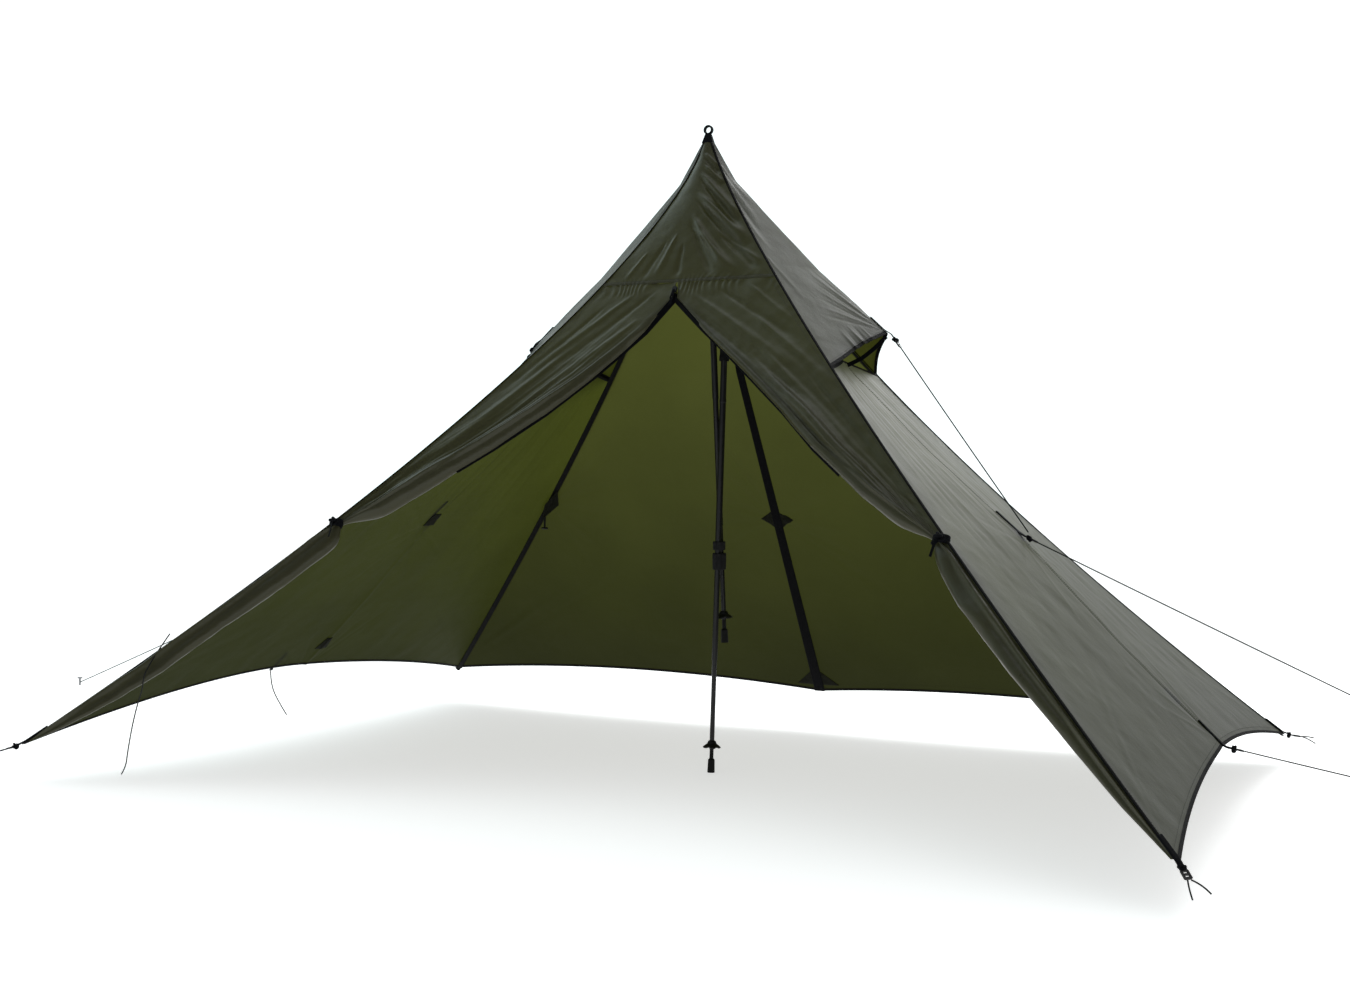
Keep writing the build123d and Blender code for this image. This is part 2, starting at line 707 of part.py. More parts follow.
def tip_cover(pole, base):
    """Rubber cover on the tip, with the ferrule neck above it."""
    cover = [(0, base - 2), (10, base - 2), (9, base + 34), (5.4, base + 38), (5.2, base + 62), (0, base + 62)]
    with BuildPart() as piece:
        add(turned(pole, cover))
        if pole[0][2] < 1:
            with BuildSketch(Plane.XY):
                with Locations((pole[0][0], pole[0][1])):
                    Rectangle(60, 60)
            extrude(amount=-10, mode=Mode.SUBTRACT)
        else:
            frame = pole_plane(pole)
            with BuildSketch(frame):
                Rectangle(60, 60)
            extrude(amount=-10, mode=Mode.SUBTRACT)
    return piece.part


def basket(pole, height):
    """Small trekking basket: a hub with a drooping scalloped rim."""
    r = SHAFT_R["lower"][0]
    outline = [(r, height - 4), (9, height - 4), (12, height), (24, height - 6), (24, height - 3.5),
               (13, height + 5), (10, height + 12), (r, height + 14)]
    frame = pole_plane(pole)
    with BuildPart() as piece:
        add(turned(pole, outline))
        with BuildSketch(frame.offset(height - 10)):
            with PolarLocations(27, 6):
                Circle(6.5)
        extrude(amount=40, mode=Mode.SUBTRACT)
    return piece.part


# Heights along each pole: lower shaft, mid shaft, upper shaft, grip (bottom, top).
POLES = {
    "a": (POLE_A, {"lower": (62, 400), "mid": (300, 700), "upper": (580, 1238), "grip": (1102, 1250)}, (990,)),
    "b": (POLE_B, {"lower": (62, 466), "mid": (316, 806), "upper": (656, 1288), "grip": (1152, 1300)}, ()),
}
BASKET_H = 72.0

for tag, (pole, heights, rings) in POLES.items():
    save(turned(pole, [(0, heights["lower"][0]), (SHAFT_R["lower"][0], heights["lower"][0]),
                       (SHAFT_R["lower"][0], heights["lower"][1]), (0, heights["lower"][1])]),
         f"pole_{tag}_lower_shaft")
    save(tube(pole, "mid", *heights["mid"]), f"pole_{tag}_mid_shaft")
    save(tube(pole, "upper", *heights["upper"], rings), f"pole_{tag}_upper_shaft")
    save(grip(pole, *heights["grip"]), f"pole_{tag}_grip")
    save(basket(pole, BASKET_H), f"pole_{tag}_basket")
    save(tip_cover(pole, 0.0), f"pole_{tag}_tip_cover")


def pole_at(pole, z):
    """Plan position of a pole's centre line at height z."""
    foot, top = pole
    t = (z - foot[2]) / (top[2] - foot[2])
    return foot[0] + (top[0] - foot[0]) * t, foot[1] + (top[1] - foot[1]) * t


def pole_strap(low, height):
    """Hook-and-loop strap wound round both poles."""
    a, b = pole_at(POLE_A, low + height / 2), pole_at(POLE_B, low + height / 2)
    with BuildPart() as piece:
        for grow, mode in ((4.6, Mode.ADD), (1.9, Mode.SUBTRACT)):
            with BuildSketch(Plane.XY.offset(low)):
                with BuildLine():
                    CenterArc(a, SHAFT_R["upper"][0] + grow, 0, 360)
                    CenterArc(b, SHAFT_R["lower"][0] + grow, 0, 360)
                make_hull()
            extrude(amount=height, mode=mode)
    return piece.part


with BuildPart() as pole_straps:
    for low, height in STRAP_Z:
        add(pole_strap(low, height))
save(pole_straps.part, "pole_straps")

# ---------------------------------------------------------------- pegs
with BuildPart() as guyline_pegs:
    for x, y in PEGS.values():
        with BuildSketch(Plane.XY):
            with Locations((x, y)):
                Circle(PEG_R)
        extrude(amount=PEG_H)
        with BuildSketch(Plane.XY.offset(PEG_H - 5)):
            with Locations((x, y)):
                RectangleRounded(18, 10, 3)
        extrude(amount=5)
save(guyline_pegs.part, "guyline_pegs")


# ---------------------------------------------------------------- cords
def cord(name, route):
    """Tube of straight runs joined by tangent arcs, as large as the runs allow."""
    points = [Vector(*p) for p in route]
    runs = [b - a for a, b in zip(points, points[1:])]
    radii = []
    for before, after in zip(runs, runs[1:]):
        half_turn = radians(before.get_angle(after) / 2)
        radii.append(0.45 * min(before.length, after.length) / tan(half_turn))
    with BuildPart() as piece:
        with BuildLine() as path:
            FilletPolyline(*points, radius=radii)
        run_length = sum(edge.length for edge in path.edges())
        with BuildSketch(Plane(origin=points[0], z_dir=runs[0])):
            Circle(CORD_D / 2)
        sweep(path=path.line)
    expected = pi * CORD_D**2 / 4 * run_length
    print(name, "length", round(run_length), "radii", [round(r) for r in radii],
          "volume ratio", round(piece.part.volume / expected, 3))
    save(piece.part, name)


def taut(start, end, sag):
    """Three-point route of a tight line with a little sag."""
    middle = (Vector(*start) + Vector(*end)) * 0.5
    return [start, (middle.X, middle.Y, middle.Z - sag), end]


cord("right_panel_line", taut(lock_end("right_panel"), peg_side("right_panel", lock_end("right_panel")), 5))
cord("right_mid_line", taut(lock_end("right_mid"), peg_side("right_mid", lock_end("right_mid")), 3))
cord("left_panel_line", taut(lock_end("left_panel"), peg_side("left_panel", lock_end("left_panel")), 6))
cord("right_hood_line", taut(lock_end("right_hood"), HOOD_LINE_END, 3))


def side_of(name, offset):
    """Point beside the outer end of an adjuster, where one of two cords leaves."""
    level = Vector(0, 0, 1).cross(AIMS[name]).normalized()
    return tuple(Vector(*lock_end(name)) + AIMS[name] + level * offset)


PEG_AWAY = Vector(AIMS["front_left"].X, AIMS["front_left"].Y, 0).normalized()
PEG_LEVEL = Vector(0, 0, 1).cross(PEG_AWAY)
PEG_FAR = Vector(*PEGS["front_left"], PEG_LINE_Z) + PEG_AWAY * (PEG_R + CORD_D / 2 + RUN_GAP)
cord("front_left_line", [side_of("front_left", 4), tuple(PEG_FAR + PEG_LEVEL * 9),
                         tuple(PEG_FAR - PEG_LEVEL * 9), side_of("front_left", -4)])
cord("front_right_tail_a", [side_of("front_right", -4), (1414, -1024, 53), (1421, -1027, 36)])
cord("front_right_tail_b", [side_of("front_right", 4), (1436, -1019, 64), (1452, -1021, 49)])
cord("back_right_tail_a", [side_of("back_right", -4), (1456, 1026, 76), (1475, 1030, 72)])
cord("back_right_tail_b", [side_of("back_right", 4), (1459, 1034, 69), (1479, 1036, 55)])
cord("left_mid_tail", [ahead(tab_end("left_mid"), AIMS["left_mid"], 1.5), (-1311, -150, 166), (-1286, -150, 121), (-1252, -150, 80)])
cord("left_hanging_cord", [
    (-1108, -808, 369), (-1127, -818, 337), (-1128, -850, 303), (-1128, -877, 270), (-1150, -857, 232),
    (-1178, -841, 196), (-1200, -832, 150), (-1217, -825, 104), (-1230, -820, 60), (-1239, -816, 22),
    (-1256, -813, 2),
])
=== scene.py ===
from math import cos, pi, sin

import bpy
import numpy as np
from mathutils import Matrix, Vector


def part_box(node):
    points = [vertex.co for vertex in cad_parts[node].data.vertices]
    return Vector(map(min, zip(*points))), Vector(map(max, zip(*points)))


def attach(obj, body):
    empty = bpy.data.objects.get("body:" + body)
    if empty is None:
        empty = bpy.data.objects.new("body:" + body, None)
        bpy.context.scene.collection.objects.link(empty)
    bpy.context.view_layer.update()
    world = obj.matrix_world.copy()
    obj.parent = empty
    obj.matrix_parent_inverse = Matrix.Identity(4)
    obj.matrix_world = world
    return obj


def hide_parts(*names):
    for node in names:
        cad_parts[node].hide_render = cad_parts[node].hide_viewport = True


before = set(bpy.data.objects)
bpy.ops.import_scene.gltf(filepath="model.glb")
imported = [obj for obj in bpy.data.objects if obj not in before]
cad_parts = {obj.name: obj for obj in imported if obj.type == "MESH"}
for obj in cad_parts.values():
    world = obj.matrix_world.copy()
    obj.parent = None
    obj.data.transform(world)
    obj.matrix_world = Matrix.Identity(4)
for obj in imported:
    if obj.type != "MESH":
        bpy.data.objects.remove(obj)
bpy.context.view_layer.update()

scene = bpy.context.scene
scene.view_settings.view_transform = "Standard"

# ---------------------------------------------------------------- camera
CAMERA_AT = (1.8305, -4.1077, 0.7389)
YAW, PITCH, ROLL = -0.4357, 0.0027, 0.0160  # radians
FOCAL_LENGTH, SENSOR_WIDTH = 44.647, 36  # millimetres


def camera_axes():
    """Right, up and back vectors of the camera."""
    ahead = Vector((sin(YAW) * cos(PITCH), cos(YAW) * cos(PITCH), -sin(PITCH)))
    right = Vector((cos(YAW), -sin(YAW), 0))
    up = right.cross(ahead)
    return right * cos(ROLL) + up * sin(ROLL), up * cos(ROLL) - right * sin(ROLL), -ahead


camera_data = bpy.data.cameras.new("camera")
camera_data.lens = FOCAL_LENGTH
camera_data.sensor_width = SENSOR_WIDTH
camera_data.clip_end = 200
camera = bpy.data.objects.new("camera", camera_data)
scene.collection.objects.link(camera)
turned_to = Matrix([list(v) for v in camera_axes()]).transposed().to_4x4()
camera.matrix_world = Matrix.Translation(CAMERA_AT) @ turned_to
scene.camera = camera


# ---------------------------------------------------------------- materials
def node(tree, kind, **values):
    """Add a shader node; values are its properties or input sockets."""
    made = tree.nodes.new("ShaderNode" + kind)
    for key, value in values.items():
        if hasattr(made, key):
            setattr(made, key, value)
        else:
            made.inputs[key.replace("_", " ")].default_value = value
    return made


def shader(name, colour, roughness, **fixed):
    """New material and its Principled node; the constant sockets are set directly."""
    made = bpy.data.materials.new(name)
    made.use_nodes = True
    bsdf = made.node_tree.nodes["Principled BSDF"]
    bsdf.inputs["Base Color"].default_value = (*colour, 1)
    bsdf.inputs["Roughness"].default_value = roughness
    for key, value in fixed.items():
        bsdf.inputs[key.replace("_", " ")].default_value = value
    return made, made.node_tree, bsdf


def mottled(tree, coords, colour, spread, scale, detail=3.0):
    """Colour that varies softly between a darker and a lighter tone."""
    speck = node(tree, "TexNoise", Scale=scale, Detail=detail)
    tree.links.new(coords, speck.inputs["Vector"])
    ramp = node(tree, "ValToRGB")
    ramp.color_ramp.elements[0].position = 0.3
    ramp.color_ramp.elements[1].position = 0.7
    ramp.color_ramp.elements[0].color = (*[c * (1 - spread) for c in colour], 1)
    ramp.color_ramp.elements[1].color = (*[min(c * (1 + spread), 1) for c in colour], 1)
    tree.links.new(speck.outputs["Fac"], ramp.inputs["Fac"])
    return ramp.outputs["Color"]


def rough_variation(tree, coords, bsdf, low, high, scale):
    """Roughness that drifts between two values."""
    speck = node(tree, "TexNoise", Scale=scale, Detail=2.0)
    tree.links.new(coords, speck.inputs["Vector"])
    reach = node(tree, "MapRange", To_Min=low, To_Max=high)
    tree.links.new(speck.outputs["Fac"], reach.inputs["Value"])
    tree.links.new(reach.outputs["Result"], bsdf.inputs["Roughness"])


def bumped(tree, bsdf, layers):
    """Chain of bump nodes: (height socket, strength, distance)."""
    last = None
    for height, strength, distance in layers:
        bump = node(tree, "Bump", Strength=strength, Distance=distance)
        tree.links.new(height, bump.inputs["Height"])
        if last is not None:
            tree.links.new(last, bump.inputs["Normal"])
        last = bump.outputs["Normal"]
    tree.links.new(last, bsdf.inputs["Normal"])
    return last


LINING = (0.013, 0.014, 0.005)  # inner, uncoated face of the cloth


def canopy_cloth(name, colour, glow, share, roughness, gloss, sheen):
    """Thin nylon: plain weave, fine crinkles, some light through it, and a dull inner face. The colour of the
    light through it is painted light and shade: brighter towards the top, darker towards the hem.
    """
    made, tree, bsdf = shader(name, colour, roughness, Sheen_Weight=sheen, Sheen_Roughness=0.35,
                              Specular_IOR_Level=gloss)
    coords = node(tree, "TexCoord")
    metric, place = coords.outputs["UV"], coords.outputs["Object"]
    tree.links.new(mottled(tree, place, colour, 0.07, 5.0), bsdf.inputs["Base Color"])
    rough_variation(tree, place, bsdf, roughness - 0.06, roughness + 0.08, 14.0)
    weave = node(tree, "TexChecker", Scale=900.0)
    tree.links.new(metric, weave.inputs["Vector"])
    slub = node(tree, "TexNoise", Scale=420.0, Detail=2.0)
    tree.links.new(metric, slub.inputs["Vector"])
    crinkle = node(tree, "TexNoise", Scale=22.0, Detail=5.0, Roughness=0.55)
    tree.links.new(place, crinkle.inputs["Vector"])
    normal = bumped(tree, bsdf, [(crinkle.outputs["Fac"], 0.25, 0.006),
                                 (slub.outputs["Fac"], 0.12, 0.0006),
                                 (weave.outputs["Fac"], 0.10, 0.0002)])
    thin = node(tree, "BsdfTranslucent")
    # Painted light and shade: the colour of the light through the cloth is scaled by height, from 0.25 near
    # the hem to 1.15 near the apex.
    height = node(tree, "SeparateXYZ")
    tree.links.new(place, height.inputs["Vector"])
    fade = node(tree, "MapRange", From_Min=0.15, From_Max=1.35, To_Min=0.25, To_Max=1.15)
    tree.links.new(height.outputs["Z"], fade.inputs["Value"])
    tone = node(tree, "VectorMath", operation="SCALE")
    tree.links.new(mottled(tree, place, glow, 0.10, 3.0), tone.inputs[0])
    tree.links.new(fade.outputs["Result"], tone.inputs["Scale"])
    tree.links.new(tone.outputs[0], thin.inputs["Color"])
    tree.links.new(normal, thin.inputs["Normal"])
    inside = node(tree, "BsdfPrincipled", Roughness=0.6, Specular_IOR_Level=0.03)
    tree.links.new(mottled(tree, place, LINING, 0.10, 4.0), inside.inputs["Base Color"])
    tree.links.new(normal, inside.inputs["Normal"])
    sides = node(tree, "MixShader")
    tree.links.new(node(tree, "NewGeometry").outputs["Backfacing"], sides.inputs[0])
    tree.links.new(bsdf.outputs[0], sides.inputs[1])
    tree.links.new(inside.outputs[0], sides.inputs[2])
    mix = node(tree, "MixShader")
    mix.inputs[0].default_value = share
    tree.links.new(sides.outputs[0], mix.inputs[1])
    tree.links.new(thin.outputs[0], mix.inputs[2])
    tree.links.new(mix.outputs[0], tree.nodes["Material Output"].inputs["Surface"])
    return made


def tape_cloth(name, colour, pitch=0.0022, roughness=0.75):
    """Woven tape or webbing with ribs across its length (along V of its UV map)."""
    made, tree, bsdf = shader(name, colour, roughness, Specular_IOR_Level=0.05)
    coords = node(tree, "TexCoord")
    metric = coords.outputs["UV"]
    tree.links.new(mottled(tree, coords.outputs["Object"], colour, 0.25, 160.0), bsdf.inputs["Base Color"])
    ribs = node(tree, "TexWave", bands_direction="Y", Scale=0.314 / pitch, Distortion=0.6)
    tree.links.new(metric, ribs.inputs["Vector"])
    warp = node(tree, "TexWave", bands_direction="X", Scale=0.314 / (pitch * 0.7), Distortion=0.4)
    tree.links.new(metric, warp.inputs["Vector"])
    bumped(tree, bsdf, [(ribs.outputs["Fac"], 0.5, 0.0005), (warp.outputs["Fac"], 0.35, 0.0003)])
    return made


def solid_finish(name, colour, roughness, grain, depth, spread=0.12, **fixed):
    """Plastic, rubber or painted metal with a fine grain and uneven gloss."""
    made, tree, bsdf = shader(name, colour, roughness, **fixed)
    coords = node(tree, "TexCoord").outputs["Object"]
    tree.links.new(mottled(tree, coords, colour, spread, 40.0), bsdf.inputs["Base Color"])
    rough_variation(tree, coords, bsdf, max(roughness - 0.08, 0.05), roughness + 0.1, 60.0)
    fine = node(tree, "TexNoise", Scale=grain, Detail=3.0)
    tree.links.new(coords, fine.inputs["Vector"])
    bumped(tree, bsdf, [(fine.outputs["Fac"], 0.35, depth)])
    return made


def braid(name, colour):
    """Braided guyline sheath."""
    made, tree, bsdf = shader(name, colour, 0.6, Specular_IOR_Level=0.2)
    coords = node(tree, "TexCoord").outputs["Object"]
    tree.links.new(mottled(tree, coords, colour, 0.35, 700.0, 1.0), bsdf.inputs["Base Color"])
    strands = node(tree, "TexWave", bands_direction="DIAGONAL", Scale=260.0, Distortion=1.2)
    tree.links.new(coords, strands.inputs["Vector"])
    bumped(tree, bsdf, [(strands.outputs["Fac"], 0.5, 0.0004)])
    return made


# One nylon cloth in four painted copies. The side and hood copies are painted lit, with lighter grey and more
# sheen. The front and back copies are painted shaded, with darker colour. Each copy's share of light through
# it is set to how light falls on its panels.
SHADED_FRONT_CLOTH = canopy_cloth("canopy_front", (0.042, 0.041, 0.020), (0.30, 0.33, 0.05), 0.07, 0.30, 0.28, 0.01)
SHADED_BACK_CLOTH = canopy_cloth("canopy_back", (0.034, 0.035, 0.024), (0.33, 0.37, 0.075), 0.10, 0.38, 0.22, 0.03)
LIT_SIDE_CLOTH = canopy_cloth("canopy_side_painted_lit", (0.050, 0.051, 0.047), (0.33, 0.37, 0.05), 0.165, 0.60, 0.24, 0.08)
LIT_HOOD_CLOTH = canopy_cloth("canopy_hood_painted_lit", (0.051, 0.052, 0.045), (0.30, 0.34, 0.03), 0.07, 0.62, 0.30, 0.12)
BINDING = tape_cloth("binding_cloth", (0.006, 0.006, 0.006))
ZIP = tape_cloth("zip_cloth", (0.002, 0.0021, 0.0028), 0.0016)
WEBBING = tape_cloth("webbing_cloth", (0.005, 0.0055, 0.007), 0.0026)
PATCH = tape_cloth("patch_cloth", (0.008, 0.0085, 0.005), 0.0012)
STRAP = tape_cloth("strap_cloth", (0.018, 0.018, 0.019), 0.0018, 0.85)
THREAD = solid_finish("thread", (0.030, 0.030, 0.026), 0.6, 900.0, 0.0002)
PLASTIC = solid_finish("moulded_plastic", (0.005, 0.005, 0.006), 0.42, 700.0, 0.0001, Specular_IOR_Level=0.3)
METAL = solid_finish("dark_metal", (0.02, 0.02, 0.021), 0.42, 500.0, 0.00005, Metallic=0.6)
SHAFT = solid_finish("shaft_coat", (0.008, 0.008, 0.009), 0.3, 260.0, 0.00005, Specular_IOR_Level=0.3)
SHAFT_LOW = solid_finish("shaft_low", (0.008, 0.008, 0.009), 0.28, 300.0, 0.00005, Specular_IOR_Level=0.3)
FOAM = solid_finish("grip_foam", (0.005, 0.005, 0.005), 0.85, 420.0, 0.0007, Specular_IOR_Level=0.15)
RUBBER = solid_finish("tip_rubber", (0.006, 0.006, 0.006), 0.7, 300.0, 0.0003, Specular_IOR_Level=0.2)
PEG = solid_finish("peg_metal", (0.32, 0.32, 0.33), 0.35, 300.0, 0.0001, Metallic=1.0)
CORD = braid("guyline", (0.006, 0.007, 0.007))
CORD_PALE = braid("guyline_pale", (0.02, 0.05, 0.05))


# ---------------------------------------------------------------- cords
CORD_DIAMETER = 0.0032


def cord(name, route, body, surface=CORD):
    """Free cord on one smooth spline with the route's points as its control points."""
    data = bpy.data.curves.new(name, "CURVE")
    data.dimensions = "3D"
    data.bevel_depth = CORD_DIAMETER / 2
    data.bevel_resolution = 3
    data.resolution_u = 12
    data.use_fill_caps = True
    spline = data.splines.new("NURBS")
    spline.points.add(len(route) - 1)
    for point, place in zip(spline.points, route):
        point.co = (*place, 1)
    spline.order_u = 3
    spline.use_endpoint_u = True
    data.materials.append(surface)
    made = bpy.data.objects.new(name + "_look", data)
    scene.collection.objects.link(made)
    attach(made, body)
    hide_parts(name)
    bare = data.copy()
    bare.bevel_depth = 0
    holder = bpy.data.objects.new("measure", bare)
    traced = bpy.data.meshes.new_from_object(holder)
    bpy.data.objects.remove(holder)
    bpy.data.meshes.remove(traced)
    bpy.data.curves.remove(bare)
    return made


ROUTES = {
    "right_panel_line": [(0.89975, 0.01624, 0.63718), (1.5092, 0.30111, 0.31959),
                         (2.11865, 0.58597, 0.012)],
    "right_mid_line": [(1.39068, 0.01702, 0.16107), (1.70515, 0.15902, 0.08353),
                       (2.01963, 0.30102, 0.012)],
    "left_panel_line": [(-0.90346, 0.01198, 0.64209), (-1.84194, 0.30428, 0.32104),
                        (-2.78042, 0.59657, 0.012)],
    "right_hood_line": [(0.54478, 0.0, 1.12572), (0.71239, 0.0, 0.89086), (0.88, 0.0, 0.662)],
    "front_left_line": [(-1.43899, -1.01696, 0.07926), (-1.66724, -1.03840, 0.012),
                        (-1.66853, -1.02045, 0.012), (-1.43956, -1.00898, 0.07926)],
    "front_right_tail_a": [(1.41162, -1.02631, 0.07044), (1.414, -1.024, 0.053), (1.421, -1.027, 0.036)],
    "front_right_tail_b": [(1.41669, -1.02012, 0.07044), (1.436, -1.019, 0.064), (1.452, -1.021, 0.049)],
    "back_right_tail_a": [(1.44026, 1.01929, 0.07463), (1.456, 1.026, 0.076), (1.475, 1.03, 0.072)],
    "back_right_tail_b": [(1.43782, 1.02691, 0.07463), (1.459, 1.034, 0.069), (1.479, 1.036, 0.055)],
    "left_mid_tail": [(-1.31282, -0.15, 0.20581), (-1.311, -0.15, 0.166), (-1.286, -0.15, 0.121),
                      (-1.252, -0.15, 0.08)],
    "left_hanging_cord": [(-1.108, -0.808, 0.369), (-1.127, -0.818, 0.337), (-1.128, -0.85, 0.303),
                          (-1.128, -0.877, 0.27), (-1.15, -0.857, 0.232), (-1.178, -0.841, 0.196),
                          (-1.2, -0.832, 0.15), (-1.217, -0.825, 0.104), (-1.23, -0.82, 0.06),
                          (-1.239, -0.816, 0.022), (-1.256, -0.813, 0.002)],
}
for name in ("right_panel_line", "right_mid_line", "left_panel_line"):
    cord(name, ROUTES[name], "canopy", surface=CORD_PALE if "left" in name else CORD)
cord("right_hood_line", ROUTES["right_hood_line"], "canopy")
cord("front_left_line", ROUTES["front_left_line"], "canopy")
for name in ("front_right_tail_a", "front_right_tail_b"):
    cord(name, ROUTES[name], "front_right_adjuster")
for name in ("back_right_tail_a", "back_right_tail_b"):
    cord(name, ROUTES[name], "back_right_adjuster")
cord("left_mid_tail", ROUTES["left_mid_tail"], "canopy")
cord("left_hanging_cord", ROUTES["left_hanging_cord"], "canopy")

# ---------------------------------------------------------------- shape rules of the canopy, in metres
APEX_Z, HALF_WIDTH, HALF_DEPTH = 1.7, 1.395, 1.008
CORNER_Z = {"front_left": 0.093, "front_right": 0.093, "back_left": 0.112, "back_right": 0.080}
RIDGE_POWER = {"front_left": 1.325, "front_right": 1.171, "back_left": 1.198, "back_right": 1.332}
TIP_BLUNT = 0.006
CAP_Z, SEAM_Z, TIE_Z, VENT_MID_Z = 1.685, 1.290, 0.655, 1.096
LIP_PEAK_Z, LIP_FRONT_Z, LIP_BACK_Z = 1.163, 1.050, 1.078
# Half widths as (height, value) pairs: panel middles, and the free edges of the two doors.
HOOD_MIDDLE = [(1.7, .009), (1.579, .082), (1.475, .181), (1.331, .321), (1.240, .425),
               (1.163, .508), (1.05, .630)]
SIDE_MIDDLE = [(1.10, .384), (1.05, .430), (.86, .627), (TIE_Z, .859), (.40, 1.107),
               (.178, 1.340), (.06, 1.450)]
BACK_MIDDLE = [(1.7, .006), (1.475, .084), (1.29, .148), (1.09, .245), (.124, .946), (.06, .992)]
FRONT_MIDDLE = [(1.7, .006), (1.475, .106), (SEAM_Z, .183)]
LEFT_EDGE = [(1.29, .001), (1.246, .003), (1.163, .060), (1.05, .170), (.95, .280), (.86, .398), (.755, .552),
             (.69, .655), (.655, .742), (.59, .788), (.525, .850), (.40, .995), (.29, 1.102), (.178, 1.242),
             (.093, 1.385)]
RIGHT_EDGE = [(1.29, .001), (1.246, .008), (1.163, .105), (1.05, .250), (.95, .375), (.86, .477),
              (.755, .618), (.69, .727), (.655, .796), (.59, .840), (.525, .893), (.40, 1.023),
              (.29, 1.150), (.178, 1.280), (.093, 1.386)]
SIGN = {"left": -1, "right": 1}
# Heights of the hems as (place along the side, height) pairs.
HEMS = {
    "right": [(-1.008, .093), (-.480, .146), (0, .171), (.520, .138), (1.008, .080)],
    "left": [(-1.008, .093), (-.480, .198), (0, .213), (.520, .176), (1.008, .112)],
    "back": [(-1.395, .112), (-.640, .152), (0, .122), (.640, .143), (1.395, .080)],
}


def along(table, z):
    """Straight-line value of a (height, value) table."""
    heights, values = zip(*sorted(table))
    return np.interp(z, heights, values)


def ridge(corner, z):
    """Plan position of a ridge at height z."""
    drop = np.clip((APEX_Z - z) / (APEX_Z - CORNER_Z[corner]), 0, 1.05)
    out = drop ** RIDGE_POWER[corner] + TIP_BLUNT * np.clip(1 - drop, 0, None) ** 8
    end, side = corner.split("_")
    y_sign = -1 if end == "front" else 1
    return np.stack([SIGN[side] * HALF_WIDTH * out, y_sign * HALF_DEPTH * out, z + 0 * out], -1)


def arc_through(points, at):
    """Height of the circular arc through three points."""
    (x0, y0), (x1, y1), (x2, y2) = points
    a = np.array([[x0, y0, 1], [x1, y1, 1], [x2, y2, 1]])
    d, e, f = np.linalg.solve(a, [-(x0**2 + y0**2), -(x1**2 + y1**2), -(x2**2 + y2**2)])
    under = np.clip(e * e / 4 - f - at**2 - d * at, 0, None)
    high, low = -e / 2 + np.sqrt(under), -e / 2 - np.sqrt(under)
    return high if abs(-e / 2 + (e * e / 4 - f - x1**2 - d * x1) ** 0.5 - y1) < 1e-6 else low


def hem(name, at):
    """Height of a hem along its side."""
    points = HEMS[name]
    return np.where(at < 0, arc_through(points[:3], np.clip(at, -1.5, 0)),
                    arc_through(points[2:], np.clip(at, 0, 1.5)))


# ---------------------------------------------------------------- noise and creases
LATTICE = np.random.default_rng(11).random((32, 32, 32)) * 2 - 1


def noise(points, scale, shift=0.0):
    """Smooth value noise from -1 to 1."""
    p = np.asarray(points) * scale + shift
    base = np.floor(p).astype(int)
    f = p - base
    f = f * f * (3 - 2 * f)
    total = 0.0
    for i in (0, 1):
        for j in (0, 1):
            for k in (0, 1):
                w = (f[..., 0] if i else 1 - f[..., 0]) * (f[..., 1] if j else 1 - f[..., 1])
                w = w * (f[..., 2] if k else 1 - f[..., 2])
                cell = (base + [i, j, k]) % 32
                total = total + w * LATTICE[cell[..., 0], cell[..., 1], cell[..., 2]]
    return total


def step(low, high, value):
    """Smooth step."""
    t = np.clip((value - low) / (high - low), 0, 1)
    return t * t * (3 - 2 * t)


def crease(points, start, end, width, height, spread=1.0, fade_in=0.08, fade_out=0.55):
    """Height of one long soft fold from start to end, which widens by spread."""
    start, end = np.asarray(start, float), np.asarray(end, float)
    run = end - start
    length2 = (run**2).sum()
    t = ((points - start) @ run) / length2
    off = points - start - t[..., None] * run
    away = np.sqrt((off**2).sum(-1))
    w = width * (0.45 + 0.55 * np.clip(t, 0, 1) * spread)
    along_it = step(-0.02, fade_in, t) * (1 - step(fade_out, 1.0, t))
    return height * np.exp(-((away / w) ** 2)) * along_it


def unit(vectors, least=1e-9):
    """Vectors brought to length one."""
    return vectors / np.maximum(np.linalg.norm(vectors, axis=-1, keepdims=True), least)


def run_along(path):
    """Distance from the start of a path to each of its points."""
    return np.concatenate([[0], np.cumsum(np.linalg.norm(np.diff(path, axis=0), axis=1))])


def unit_grid(rows, columns):
    """Shares from 0 to 1 across and down a grid."""
    u = np.broadcast_to(np.linspace(0, 1, columns), (rows, columns))
    v = np.broadcast_to(np.linspace(0, 1, rows)[:, None], (rows, columns))
    return u, v


def grid_normals(grid):
    """Unit normals of a grid of points."""
    return unit(np.cross(np.gradient(grid, axis=1), np.gradient(grid, axis=0)), 1e-12)


def facing(normals, axis, sign):
    """Normals turned to have this sign along an axis."""
    return normals * np.where(normals[..., axis:axis + 1] * sign < 0, -1.0, 1.0)


def pushed(grid, height, axis, sign):
    """Grid moved out of the tent by a height at each point."""
    return grid + facing(grid_normals(grid), axis, sign) * height[..., None]


def gathers(points, shift):
    """Fine uneven puckers, about 23 mm apart along x."""
    wave = np.sin(points[..., 0] * 270 + 14 * noise(points, 11.0))
    return wave * (0.6 + 0.6 * noise(points, 22.0, shift))


def grid_uv(grid):
    """UV map in metres, measured along the rows and columns."""
    across = np.linalg.norm(np.diff(grid, axis=1), axis=-1)
    down = np.linalg.norm(np.diff(grid, axis=0), axis=-1)
    u = np.concatenate([np.zeros((grid.shape[0], 1)), np.cumsum(across, 1)], 1)
    u -= u[:, -1:] / 2
    v = np.concatenate([np.zeros((1, grid.shape[1])), np.cumsum(down, 0)], 0)
    return np.stack([u, v], -1)


